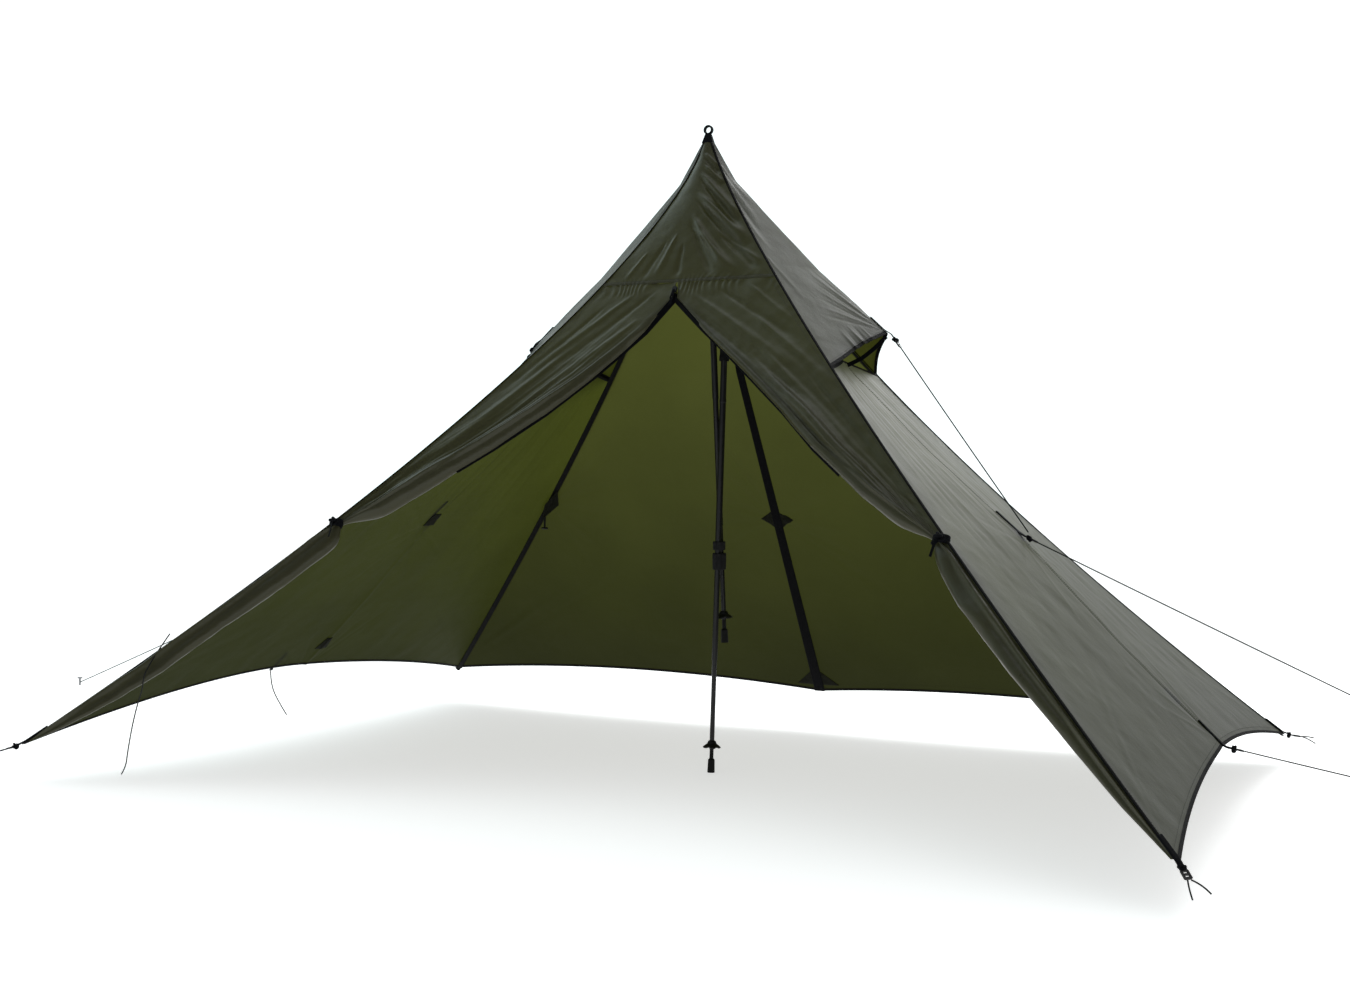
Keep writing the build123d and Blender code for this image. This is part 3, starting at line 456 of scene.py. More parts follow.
def mesh_object(name, points, faces, surface, uv=None, smooth=True):
    """Mesh object from arrays; uv is given per point."""
    mesh = bpy.data.meshes.new(name)
    mesh.from_pydata([tuple(p) for p in np.asarray(points, float).tolist()], [], faces)
    mesh.materials.append(surface)
    if uv is not None:
        layer = mesh.uv_layers.new(name="metres")
        loops = np.zeros(len(mesh.loops), np.int32)
        mesh.loops.foreach_get("vertex_index", loops)
        layer.data.foreach_set("uv", np.asarray(uv, np.float32)[loops].ravel())
    if smooth:
        mesh.polygons.foreach_set("use_smooth", [True] * len(mesh.polygons))
    mesh.update()
    made = bpy.data.objects.new(name, mesh)
    scene.collection.objects.link(made)
    return made


def grid_faces(rows, columns, flip=False, start=0, wrap=False):
    """Quads of a grid of points."""
    i = np.arange(rows - 1)[:, None]
    j = np.arange(columns if wrap else columns - 1)[None, :]
    k = (j + 1) % columns
    a, b = i * columns + j, i * columns + k
    c, d = (i + 1) * columns + k, (i + 1) * columns + j
    quads = np.stack([d, c, b, a] if flip else [a, b, c, d], -1).reshape(-1, 4) + start
    return quads.tolist()


def cloth(name, grid, surface, node_names, body="canopy"):
    """Sheet of cloth from a grid of points."""
    rows, columns = grid.shape[:2]
    flip = (grid_normals(grid) * (grid - [0, 0, 0.6])).sum() < 0
    made = mesh_object(name, grid.reshape(-1, 3), grid_faces(rows, columns, flip), surface,
                       grid_uv(grid).reshape(-1, 2))
    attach(made, body)
    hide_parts(*node_names)
    return made


# Cross-section of a tape: flat, with rounded edges.
TAPE_SECTION = [(-1, 0), (-0.94, 0.75), (-0.8, 1), (-0.3, 1), (0.3, 1), (0.8, 1), (0.94, 0.75), (1, 0),
                (0.94, -0.75), (0.8, -1), (0.3, -1), (-0.3, -1), (-0.8, -1), (-0.94, -0.75)]


def tape(name, path, across, width, thick, surface, body, replaced=(), wave=0.0):
    """Closed band along a path; across gives its width direction at each point."""
    path, across = np.asarray(path, float), np.asarray(across, float)
    width = np.broadcast_to(np.asarray(width, float), (len(path),))
    tangent = unit(np.gradient(path, axis=0))
    across = unit(across - (across * tangent).sum(1, keepdims=True) * tangent)
    normal = np.cross(across, tangent)
    section = np.array(TAPE_SECTION)
    n = len(section)
    rings = (path[:, None] + across[:, None] * (section[None, :, :1] * width[:, None, None] / 2)
             + normal[:, None] * (section[None, :, 1:] * thick / 2))
    if wave:
        rings = rings + normal[:, None] * (noise(rings, 35.0) * wave)[..., None]
    points = rings.reshape(-1, 3)
    run = run_along(path)
    uv = np.stack([np.broadcast_to(section[None, :, 0] * width[:, None] / 2, (len(path), n)),
                   np.broadcast_to(run[:, None], (len(path), n))], -1).reshape(-1, 2)
    faces = grid_faces(len(path), n, wrap=True)
    faces += [list(range(n))[::-1], [(len(path) - 1) * n + k for k in range(n)]]
    made = mesh_object(name, points, faces, surface, uv)
    if body:
        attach(made, body)
    if replaced:
        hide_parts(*replaced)
    return made


def join(name, parts, body, replaced=()):
    """One piece from several mesh objects."""
    with bpy.context.temp_override(active_object=parts[0], selected_editable_objects=parts):
        bpy.ops.object.join()
    made = parts[0]
    made.name = name
    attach(made, body)
    if replaced:
        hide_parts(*replaced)
    return made


# ---------------------------------------------------------------- side panels and hoods
def side_section(side, z, u, hood):
    """Point of a side panel at height z and share u from the front ridge to the back one."""
    front, back = ridge("front_" + side, z), ridge("back_" + side, z)
    middle = np.stack([SIGN[side] * along(HOOD_MIDDLE if hood else SIDE_MIDDLE, z), 0 * z, z], -1)
    t = np.abs(2 * u - 1)
    soft = 0.03 if hood else 0.03 + 0.07 * step(0.0, 0.35, np.abs(z - TIE_Z))
    lift = (np.sqrt(1 + soft**2) - np.sqrt(t**2 + soft**2)) / (np.sqrt(1 + soft**2) - soft)
    level = front + (back - front) * u[..., None]
    halfway = (front + back) / 2
    return level + (middle - halfway) * lift[..., None]


def side_point(side, z, u, hood=False):
    """One point of a side panel."""
    return side_section(side, np.array(float(z)), np.array(float(u)), hood)


def side_creases(side, points):
    """Long tension folds of a lower side panel."""
    rng = np.random.default_rng(5 if side == "right" else 6)
    height = 0
    target = side_point(side, TIE_Z - 0.02, 0.47)
    for k in range(9):
        u0 = 0.05 + 0.052 * k + rng.uniform(-.012, .012)
        start = side_point(side, along([(0, 1.05), (.5, 1.09), (1, 1.078)], u0), u0)
        stop = side_point(side, rng.uniform(.42, .60), 0.16 + 0.036 * k)
        width = rng.uniform(.012, .022)
        depth = rng.choice([-1, 1]) * rng.uniform(.0022, .0040)
        height = height + crease(points, start, stop, width, depth)
    for k in range(5):
        start = side_point(side, 1.085, 0.55 + 0.07 * k)
        stop = side_point(side, .50 - .03 * k, 0.56 + 0.05 * k)
        height = height + crease(points, start, stop, .020, rng.choice([-1, 1]) * .0030)
    for z, u in ((.90, .40), (.86, .62), (.56, .30), (.42, .36), (.40, .62), (.52, .70), (.72, .25),
                 (.78, .72)):
        height = height + crease(points, target, side_point(side, z, u), .016, rng.choice([-1, 1]) * .0026)
    for corner_u, end_z in ((0.0, .093), (1.0, .08)):
        start = side_point(side, end_z + .01, corner_u)
        for k in range(4):
            stop = side_point(side, .34 + .05 * k, abs(corner_u - (.10 + .09 * k)))
            height = height + crease(points, start, stop, .018, rng.choice([-1, 1]) * .0016)
    mid = side_point(side, .185, .5)
    for k in range(5):
        stop = side_point(side, .30 + .03 * k, .36 + .07 * k)
        height = height + crease(points, mid, stop, .012, rng.choice([-1, 1]) * .0032)
    return height * 0.35


def side_panel(side):
    """Lower side panel from the vent's hem down to the bottom hem."""
    u, v = unit_grid(300, 320)
    top = np.interp(u, [0, .5, 1], [LIP_FRONT_Z, VENT_MID_Z, LIP_BACK_Z])
    z = top + (0.12 - top) * v
    for _ in range(6):
        y = side_section(side, z, u, False)[..., 1]
        low = hem(side, y)
        z = top + (low - top) * v
    grid = side_section(side, z, u, False)
    edge = step(0, .06, np.minimum(np.minimum(u, 1 - u), np.minimum(v, 1 - v)) * 2)
    height = side_creases(side, grid) + 0.0016 * noise(grid * [1, 2, 1], 7.0) + 0.0007 * noise(grid, 26.0)
    seam = np.exp(-((np.abs(u - .5) * 2 * np.abs(ridge("front_" + side, z)[..., 1]) / .009) ** 2))
    height = height * edge - 0.0018 * seam * step(0, .05, v)
    return pushed(grid, height, 0, SIGN[side])


PANELS = {}
for side in ("left", "right"):
    PANELS[side] = side_panel(side)
    cloth(side + "_side_cloth", PANELS[side], LIT_SIDE_CLOTH, [side + "_side_panel"])


def hood_grid(side):
    """Hood over a vent, from the apex down to its lip."""
    u, v = unit_grid(240, 220)
    z = np.full(u.shape, 1.3)
    front_y = ridge("front_" + side, np.array(LIP_FRONT_Z))[1]
    back_y = ridge("back_" + side, np.array(LIP_BACK_Z))[1]
    sag = 0.004 if side == "right" else -0.012
    for _ in range(8):
        y = side_section(side, z, u, True)[..., 1]
        lip = np.interp(y, [front_y, 0, back_y], [LIP_FRONT_Z, LIP_PEAK_Z, LIP_BACK_Z])
        lip = lip + sag * (1 - step(0, .16, np.abs(y - .15))) + 0.004 * (1 - step(0, .16, np.abs(y + .15)))
        z = CAP_Z + (lip - CAP_Z) * v**0.9
    grid = side_section(side, z, u, True)
    rng = np.random.default_rng(21 if side == "right" else 22)
    peak = side_point(side, LIP_PEAK_Z, .5, True)
    height = 0
    for k in range(9):
        stop = side_point(side, 1.20 + .026 * k, .10 + .045 * k, True)
        height = height + crease(grid, peak, stop, .008, rng.choice([-1, 1]) * .0030, fade_in=.4)
    for k in range(7):
        stop = side_point(side, 1.22 + .03 * k, .9 - .05 * k, True)
        height = height + crease(grid, peak, stop, .008, rng.choice([-1, 1]) * .0026, fade_in=.4)
    for z0, u0, z1, u1, h in ((1.60, .02, 1.44, .22, .004), (1.54, .02, 1.40, .14, -.004),
                              (1.47, .02, 1.36, .10, .003), (1.62, .06, 1.50, .40, .004),
                              (1.35, .02, 1.22, .12, .0025)):
        start, stop = side_point(side, z0, u0, True), side_point(side, z1, u1, True)
        height = height + crease(grid, start, stop, .012, h)
    puckers = 0
    for u0, h in ((.20, .003), (.235, -.002), (.27, .0035), (.305, -.002), (.35, .0015)):
        puckers = puckers + h * np.exp(-(((u - u0 + .06 * (1 - v)) / .010) ** 2)) * step(.90, .995, v)
    edge = step(0, .04, np.minimum(u, 1 - u))
    height = (0.35 * height + 0.0009 * noise(grid, 7.0) + 0.0003 * noise(grid, 30.0)) * edge + puckers
    return pushed(grid, height, 0, SIGN[side])


HOODS = {}
for side in ("left", "right"):
    HOODS[side] = hood_grid(side)
    cloth(side + "_hood_cloth", HOODS[side], LIT_HOOD_CLOTH, [side + "_vent_hood"])


# ---------------------------------------------------------------- back panels
def back_section(side, z, u):
    """Point of half the back at height z and share u from the ridge to the zip."""
    corner = ridge("back_" + side, z)
    middle = np.stack([0 * z, along(BACK_MIDDLE, z), z], -1)
    return corner + (middle - corner) * u[..., None]


def on_back(side, z, u):
    """One point of half the back."""
    return back_section(side, np.array(float(z)), np.array(float(u)))


def back_grid(side):
    """Half the back, from the apex to the hem."""
    u, v = unit_grid(300, 200)
    z = CAP_Z + (0.12 - CAP_Z) * v
    for _ in range(6):
        x = back_section(side, z, u)[..., 0]
        z = CAP_Z + (hem("back", x) - CAP_Z) * v
    grid = back_section(side, z, u)
    rng = np.random.default_rng(31 if side == "right" else 32)
    height = 0
    apex = on_back(side, 1.5, .6)
    for k in range(6):
        stop = on_back(side, .75 - .05 * k, .25 + .12 * k)
        height = height + crease(grid, apex, stop, .02, rng.choice([-1, 1]) * .0015)
    for start_z, start_u in ((.705, .0), (.672, 1.0)):
        start = on_back(side, start_z, start_u)
        for k in range(6):
            stop = on_back(side, start_z + .30 - .11 * k, abs(start_u - .30 - .02 * (k % 3)))
            height = height + crease(grid, start, stop, .016, rng.choice([-1, 1]) * .0018)
    corner = on_back(side, .13, 0)
    for k in range(5):
        stop = on_back(side, .40 + .04 * k, .15 + .1 * k)
        height = height + crease(grid, corner, stop, .02, rng.choice([-1, 1]) * .003)
    edge = step(0, .05, np.minimum(np.minimum(u, 1 - u), 1 - v))
    height = (height + 0.0016 * noise(grid, 6.0) + 0.0007 * noise(grid, 24.0)) * edge
    return pushed(grid, height, 1, 1)


for side in ("left", "right"):
    PANELS["back_" + side] = back_grid(side)
    cloth("back_%s_cloth" % side, PANELS["back_" + side], SHADED_BACK_CLOTH, ["back_%s_panel" % side])


# ---------------------------------------------------------------- front top panel
def front_middle(z):
    """Middle of the front: bowed above the seam, straight between the ridges below it."""
    left, right = ridge("front_left", z), ridge("front_right", z)
    straight = left[..., 1] - (right[..., 1] - left[..., 1]) * left[..., 0] / (right[..., 0] - left[..., 0])
    return np.where(z >= SEAM_Z, -along(FRONT_MIDDLE, z), straight)


def front_section(z, u):
    """Point of the front top panel; u runs from the left ridge to the right one."""
    left, right = ridge("front_left", z), ridge("front_right", z)
    middle = np.stack([0 * z, front_middle(z), z], -1)
    cross = -left[..., 0] / (right[..., 0] - left[..., 0])
    level = left + (right - left) * u[..., None]
    bow = middle[..., 1] - (left[..., 1] + (right[..., 1] - left[..., 1]) * cross)
    t = np.where(u < cross, u / np.maximum(cross, 1e-6), (1 - u) / np.maximum(1 - cross, 1e-6))
    level[..., 1] += bow * (1 - (1 - t) ** 2)
    return level


def on_front(z, u):
    """One point of the front top panel."""
    return front_section(np.array(float(z)), np.array(float(u)))


def front_top():
    """Panel between the apex and the cross seam, with its folds and the puckers of the seam."""
    u, v = unit_grid(340, 300)
    z = CAP_Z + (SEAM_Z - CAP_Z) * v
    grid = front_section(z, u)
    height = 0
    for z0, u0, z1, u1, w, h in (
        (1.600, .42, 1.455, .97, .012, .0075), (1.585, .40, 1.425, .93, .010, -.0060),
        (1.540, .45, 1.385, .95, .014, .0085), (1.525, .42, 1.350, .90, .011, -.0070),
        (1.480, .44, 1.305, .74, .013, .0080), (1.455, .43, 1.300, .65, .010, -.0060),
        (1.440, .50, 1.300, .80, .012, .0055), (1.620, .50, 1.560, .95, .007, .0040),
        (1.640, .45, 1.590, .95, .006, -.0035), (1.655, .45, 1.612, .95, .006, .0035),
        (1.430, .34, 1.300, .30, .010, .0040), (1.410, .26, 1.300, .22, .009, -.0035),
        (1.400, .42, 1.300, .43, .009, -.0040), (1.380, .15, 1.300, .12, .008, .0030),
        (1.420, .72, 1.310, .93, .010, -.0045), (1.400, .80, 1.330, .97, .008, .0040),
    ):
        height = height + crease(grid, on_front(z0, u0), on_front(z1, u1), w, h, 1.3, .25, .75)
    near_seam = step(SEAM_Z + .030, SEAM_Z + .002, z)
    height = height + 0.0009 * gathers(grid, 3.0) * near_seam * (0.4 + 0.6 * step(.1, .7, u))
    edge = step(0, .03, np.minimum(u, 1 - u))
    height = height * edge + 0.0010 * noise(grid, 16.0) + 0.0006 * noise(grid, 45.0)
    return pushed(grid, height, 1, -1)


FRONT = front_top()
cloth("front_top_cloth", FRONT, SHADED_FRONT_CLOTH, ["front_top_panel"])


# ---------------------------------------------------------------- doors
ROLL_PITCH = 0.0030  # layer to layer in the rolled part
FOLD_RISE = {"left": 0.025, "right": 0.020}  # height of the fold beside the roll
DOOR_WIDE = 1.07  # flat width of a door square to the ridge, where it is widest
ROLL_FLATTEN = 0.72  # thickness of the roll over its width


def door_grid(side):
    """Door from its ridge to the free edge, where the rest of its width is rolled inwards."""
    sign = SIGN[side]
    table = LEFT_EDGE if side == "left" else RIGHT_EDGE
    rows, flat_columns, roll_columns = 420, 110, 110
    z = np.linspace(SEAM_Z, 0.100, rows)
    corner = ridge("front_" + side, z)
    other = ridge("front_right" if side == "left" else "front_left", z)
    edge_x = sign * along(table, z)
    share = (edge_x - corner[:, 0]) / (other[:, 0] - corner[:, 0])
    edge = corner + (other - corner) * share[:, None]
    run = run_along(corner)
    total, tie_run = run[-1], np.interp(-TIE_Z, -z, run)
    across = unit(edge - corner, 1e-6)
    out = unit(facing(np.cross(across, unit(np.gradient(corner, axis=0))), 1, -1))
    width = np.linalg.norm(edge - corner, axis=1)
    real = np.where(run < tie_run, width[0] + (DOOR_WIDE - width[0]) * run / tie_run,
                    DOOR_WIDE * (total - run) / (total - tie_run))
    spare = np.clip(real - width, 0.0, None)
    radius = np.minimum(np.sqrt(spare * ROLL_PITCH / pi) + 0.0008, width * 0.62)
    pinch = np.exp(-(((z - TIE_Z) / 0.022) ** 2))
    radius = radius * (1 - 0.25 * pinch)
    flat = width - radius
    below = step(TIE_Z + .012, TIE_Z - .02, z)[:, None]
    near_tie = np.exp(-((np.abs(z - TIE_Z) / 0.11) ** 1.5))[:, None]

    u = np.linspace(0, 1, flat_columns)[None, :] ** 0.85
    base = corner[:, None] + across[:, None] * (u * flat[:, None])[..., None]
    from_roll = (1 - u) * flat[:, None]
    from_ridge = u * flat[:, None]
    zero = 0 * u + 0 * run[:, None]
    drift = noise(np.stack([run[:, None] * 2.2 + zero, zero + 3.0 * sign, zero], -1), 1.0)
    reach = 0.055 + 0.05 * (1 - step(.0, .5, run))[:, None]
    fade = np.exp(-from_roll / reach) * step(.05, .55, run)[:, None]
    phase = from_roll / (0.040 + 0.012 * drift) * 2 * pi
    folds = 0.0032 * fade * (np.sin(phase + 1.2 + 2.0 * drift) + 0.45 * np.sin(2.1 * phase + 4.0 * drift))
    sharp = step(.22, .62, run)[:, None] * (1 - below) * np.clip(flat[:, None] / 0.09, 0.15, 1)
    crest = np.clip(0.16 * flat, .003, .020)[:, None] * (1 + 0.5 * drift)
    wall = np.clip(0.42 * flat, .012, .052)[:, None]
    rise = 0.5 + 0.5 * np.cos(pi * np.clip((from_roll - crest) / wall, 0, 1))
    drop = 0.30 + 0.35 * (1 + np.cos(pi * np.clip((crest - from_roll) / (0.9 * crest), 0, 1)))
    brink = np.where(from_roll > crest, rise, drop) * (0.85 + 0.35 * drift)
    valley = np.exp(-(((from_roll - crest - 1.25 * wall) / (0.55 * wall)) ** 2))
    folds = folds + (FOLD_RISE[side] * brink - 0.008 * valley) * sharp
    rays = 0
    rng = np.random.default_rng(41 if side == "right" else 42)
    for k in range(9):
        lane = 0.08 + 0.10 * k
        shape = np.exp(-(((u - lane - 0.02 * drift) / 0.035) ** 2))
        rays = rays + rng.choice([-1.0, 1.0]) * rng.uniform(.5, 1.0) * shape
    folds = folds + 0.0040 * rays * near_tie * (1 - below)
    folds = folds * np.clip(flat[:, None] / 0.12, 0.25, 1)
    folds = folds + 0.0019 * gathers(base, 5.0) * step(SEAM_Z - .045, SEAM_Z - .002, z)[:, None]
    for start, stop, w, h in DOOR_CREASES[side]:
        a = corner_to_edge(corner, edge, z, *start)
        b = corner_to_edge(corner, edge, z, *stop)
        folds = folds + 0.75 * crease(base, a, b, w, h, 1.3, .2, .7)
    t = from_ridge / np.maximum(flat[:, None], 1e-6)
    groove = -0.0075 * np.exp(-(((from_ridge - .004) / .005) ** 2))
    groove = groove + 0.010 * np.exp(-(((t - .42) / .24) ** 2))
    lump = 0.0045 * noise(np.stack([run[:, None] * 11 + zero, t * 2.0, zero + 7.0 * sign], -1), 1.0)
    folds = folds * (1 - below) + (groove + lump + 0.3 * folds) * below * step(.0, .03, width)[:, None]
    folds = folds + 0.0012 * noise(base, 18.0) + 0.0006 * noise(base, 55.0)
    folds = folds * step(0, .012, from_ridge)
    sheet_part = base + out[:, None] * folds[..., None]

    end_lift = folds[:, -1:]
    turns = 2 * pi * radius / ROLL_PITCH
    turns = np.minimum(turns, 2 * spare / np.maximum(radius, 1e-4))[:, None]
    w = np.linspace(0, 1, roll_columns + 1)[None, 1:]
    angle = turns * w
    rho = np.clip(radius[:, None] * (1 - 0.96 * w), 0.0003, None)
    around = [run[:, None] * 9 + 0 * w, np.cos(angle) * 1.3, np.sin(angle) * 1.3 + 9 * sign]
    wobble = 1 + 0.16 * noise(np.stack(around, -1), 1.0)
    centre = corner[:, None] + across[:, None] * flat[:, None, None]
    centre = centre - out[:, None] * (radius * ROLL_FLATTEN)[:, None, None]
    centre = centre + out[:, None] * end_lift[..., None]
    roll_part = (centre + out[:, None] * (rho * wobble * np.cos(angle) * ROLL_FLATTEN)[..., None]
                 + across[:, None] * (rho * wobble * np.sin(angle))[..., None])
    grid = np.concatenate([sheet_part, roll_part], 1)
    heart = (corner + across * (width * .45)[:, None] - out * .004)[:, None]
    squeeze = 1 - 0.66 * np.exp(-(((z - TIE_Z) / 0.022) ** 2))[:, None, None]
    hold = step(0, .06, np.concatenate([from_ridge / .1, 1 + 0 * roll_part[..., 0]], 1))[..., None]
    grid = heart + (grid - heart) * (1 - (1 - squeeze) * hold)
    return grid, corner, edge, z, out, across, width


def corner_to_edge(corner, edge, z, at_z, share):
    """Point of a door at a height and a share from its ridge to its edge."""
    k = int(np.argmin(np.abs(z - at_z)))
    return corner[k] + (edge[k] - corner[k]) * share


DOOR_CREASES = {
    "left": [((1.27, .55), (1.02, .15), .012, .005), ((1.28, .80), (1.05, .45), .012, -.004),
             ((1.24, .30), (.98, .10), .010, -.004), ((1.20, .85), (.90, .55), .014, .005),
             ((1.12, .40), (.80, .30), .016, .006), ((1.05, .70), (.78, .62), .012, -.005)],
    "right": [((1.27, .60), (1.10, .08), .011, -.005), ((1.26, .85), (1.02, .30), .013, .006),
              ((1.22, .95), (.93, .50), .014, -.006), ((1.20, .40), (1.00, .08), .010, .005),
              ((1.12, .60), (.80, .35), .016, .007), ((1.05, .30), (.80, .15), .010, -.004),
              ((1.28, .30), (1.16, .06), .008, .004)],
}
DOORS = {}
for side in ("left", "right"):
    DOORS[side] = door_grid(side)
    cloth(side + "_door_cloth", DOORS[side][0], SHADED_FRONT_CLOTH, [side + "_front_door"])

# ---------------------------------------------------------------- ridge seams
def ridge_line(corner, top, bottom, count, lift):
    """Points along a ridge, lifted away from the tent."""
    z = np.linspace(top, bottom, count)
    line = ridge(corner, z)
    away = line.copy()
    away[:, 2] = 0
    away = unit(away, 1e-6)
    away[:, 2] = 0.9
    return line + away / 1.345 * lift, away  # 1.345 is the length of away


def ridge_seam(corner, width, lift):
    """Bound seam over a ridge."""
    line, away = ridge_line(corner, CAP_Z, CORNER_Z[corner], 160, lift)
    tangent = np.gradient(line, axis=0)
    across = np.cross(tangent, away)
    return tape("seam", line, across, width, 0.0026, BINDING, None)


join("front_ridge_seams", [ridge_seam("front_left", .007, .0006), ridge_seam("front_right", .007, .0006)],
     "canopy", ["front_ridge_tapes"])
join("back_ridge_seams", [ridge_seam("back_left", .020, -.0062), ridge_seam("back_right", .018, -.0062),
                          ridge_seam("back_left", .008, .0006), ridge_seam("back_right", .008, .0006)],
     "canopy", ["back_ridge_tapes"])


# ---------------------------------------------------------------- hems
def edge_tape(name, grid_row, inner_row, width, thick=0.0028, surface=BINDING):
    """Binding folded over an edge of a sheet: along the row, its width towards the inner row."""
    inward = unit(inner_row - grid_row)
    return tape(name, grid_row + inward * width * 0.45, inward, width, thick, surface, None)


hems = [edge_tape("hem", PANELS[key][-1], PANELS[key][-6], .009)
        for key in ("left", "right", "back_left", "back_right")]
join("hem_bindings_look", hems, "canopy", ["hem_bindings"])
lips = [edge_tape("lip", HOODS[side][-1], HOODS[side][-5], .010) for side in ("left", "right")]
lips += [edge_tape("top_hem", PANELS[side][0], PANELS[side][5], .008) for side in ("left", "right")]
join("hood_bindings_look", lips, "canopy", ["hood_bindings"])

# ---------------------------------------------------------------- zips
z = np.linspace(SEAM_Z, 0.122, 200)
line = np.stack([0 * z, along(BACK_MIDDLE, z) - 0.002, z], -1)
tape("back_zip_look", line, np.tile([1.0, 0, 0], (200, 1)), np.linspace(.020, .034, 200), 0.003, ZIP,
     "canopy", ["back_zip_tape"])
for side in ("left", "right"):
    grid, corner, edge, z, out, across, width = DOORS[side]
    keep = (z < 1.262) & (z > 0.80)
    fall = step(1.262, 1.10, z[keep])[:, None]
    line = edge[keep] - out[keep] * (0.004 + 0.010 * fall) + across[keep] * (0.005 - 0.009 * fall)
    tape(side + "_zip_look", line, across[keep] - out[keep] * 0.8, 0.016, 0.0022, ZIP, "canopy",
         [side + "_zip_tape"])

# Pull of the front zip: a loop of ribbon with two short ends.
low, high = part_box("front_zip_pull")
head = np.array([0, high[1] - .001, high[2]])
foot = np.array([0, low[1] + .001, low[2]])
ribbon = [head + (foot - head) * t + np.array([side * .0030 * np.sin(pi * t), 0, 0])
          for side, span in ((-1, np.linspace(0, 1, 14)), (1, np.linspace(1, 0, 14))) for t in span * .62]
bits = [tape("ribbon", ribbon, np.tile([0.0, .5, .86], (28, 1)), .0055, .0018, WEBBING, None)]
for drift in (-.0026, .0022):
    tail = [head + (foot - head) * t + np.array([drift * (t - .5) * 2, 0, 0]) for t in np.linspace(.58, 1, 8)]
    bits.append(tape("end", tail, np.tile([1.0, 0, 0], (8, 1)), .0024, .0018, WEBBING, None))
join("front_pull_look", bits, "front_zip_pull", ["front_zip_pull"])

# ---------------------------------------------------------------- stitches
def stitches(path, away, pitch=0.006, length=0.0036, thick=0.0004):
    """Row of thread dashes along a path, standing slightly proud of the cloth."""
    path, away = np.asarray(path, float), np.asarray(away, float)
    run = run_along(path)
    middles = np.arange(pitch, run[-1] - pitch, pitch)
    at = np.stack([np.interp(middles, run, path[:, k]) for k in range(3)], 1)
    ahead = np.stack([np.interp(middles + length / 2, run, path[:, k]) for k in range(3)], 1) - at
    n = unit(np.stack([np.interp(middles, run, away[:, k]) for k in range(3)], 1))
    side = unit(np.cross(n, ahead))
    points, faces = [], []
    squeeze = 0.55
    for k, (c, f, m, q) in enumerate(zip(at, ahead, n, side)):
        for t in (-1, 1):
            points += [c + f * t - q * thick * squeeze, c + f * t * .6 - q * thick + m * thick * 1.6,
                       c + f * t * .6 + q * thick + m * thick * 1.6, c + f * t + q * thick * squeeze]
        b = 8 * k
        faces += [[b, b + 1, b + 5, b + 4], [b + 1, b + 2, b + 6, b + 5], [b + 2, b + 3, b + 7, b + 6],
                  [b + 3, b, b + 4, b + 7], [b + 3, b + 2, b + 1, b], [b + 4, b + 5, b + 6, b + 7]]
    return mesh_object("stitches", points, faces, THREAD, smooth=False)


def row_of(grid, row, axis, sign, lift=0.0008):
    """Path along a grid row, lifted off the cloth, and its normals."""
    n = facing(grid_normals(grid), axis, sign)
    return grid[row] + n[row] * lift, n[row]


rows = []
for row in (-2, -8):
    rows.append(stitches(*row_of(FRONT, row, 1, -1)))
for side, sign in SIGN.items():
    rows.append(stitches(*row_of(PANELS[side], -5, 0, sign)))
    rows.append(stitches(*row_of(HOODS[side], -5, 0, sign)))
    turned = PANELS[side].transpose(1, 0, 2)
    for column in (2, -3, 157, 162):
        rows.append(stitches(*row_of(turned, column, 0, sign)))
    rows.append(stitches(*row_of(PANELS["back_" + side], -5, 1, 1)))
    turned = DOORS[side][0].transpose(1, 0, 2)
    rows.append(stitches(*row_of(turned, 4, 1, -1)))
join("stitching", rows, "canopy")

seam_path = row_of(FRONT, -4, 1, -1, 0.0006)[0]
seam_across = np.tile([0.0, 0.45, 0.9], (len(seam_path), 1))
tape("cross_seam_look", seam_path, seam_across, 0.008, 0.0014, SHADED_FRONT_CLOTH, "canopy", wave=0.0004)


# ---------------------------------------------------------------- webbing
def strip(places, width_way, width=0.015, thick=0.0018, surface=WEBBING, soft=6):
    """Webbing strip through some points, rounded between them."""
    places = np.asarray(places, float)
    run = run_along(places)
    fine = np.linspace(0, run[-1], 60)
    path = np.stack([np.interp(fine, run, places[:, k]) for k in range(3)], 1)
    for _ in range(soft):
        path[1:-1] = (path[:-2] + 2 * path[1:-1] + path[2:]) / 4
    across = np.tile(np.asarray(width_way, float), (len(path), 1))
    return tape("strip", path, across, width, thick, surface, None)


def knot(centre, size, surface, seed):
    """Small lumpy knot: one tube wound twice round itself."""
    t = np.linspace(0, 2 * pi, 90, endpoint=False)
    reach = 2 + np.cos(3 * t)
    path = np.stack([reach * np.cos(2 * t), reach * np.sin(2 * t), 1.3 * np.sin(3 * t)], 1)
    turn = np.random.default_rng(seed).uniform(0, 2 * pi)
    spin = np.array([[cos(turn), 0, sin(turn)], [0, 1, 0], [-sin(turn), 0, cos(turn)]])
    path = path @ spin.T * size / 3 + np.asarray(centre)
    return tube(path, size * 0.36, surface, closed=True)


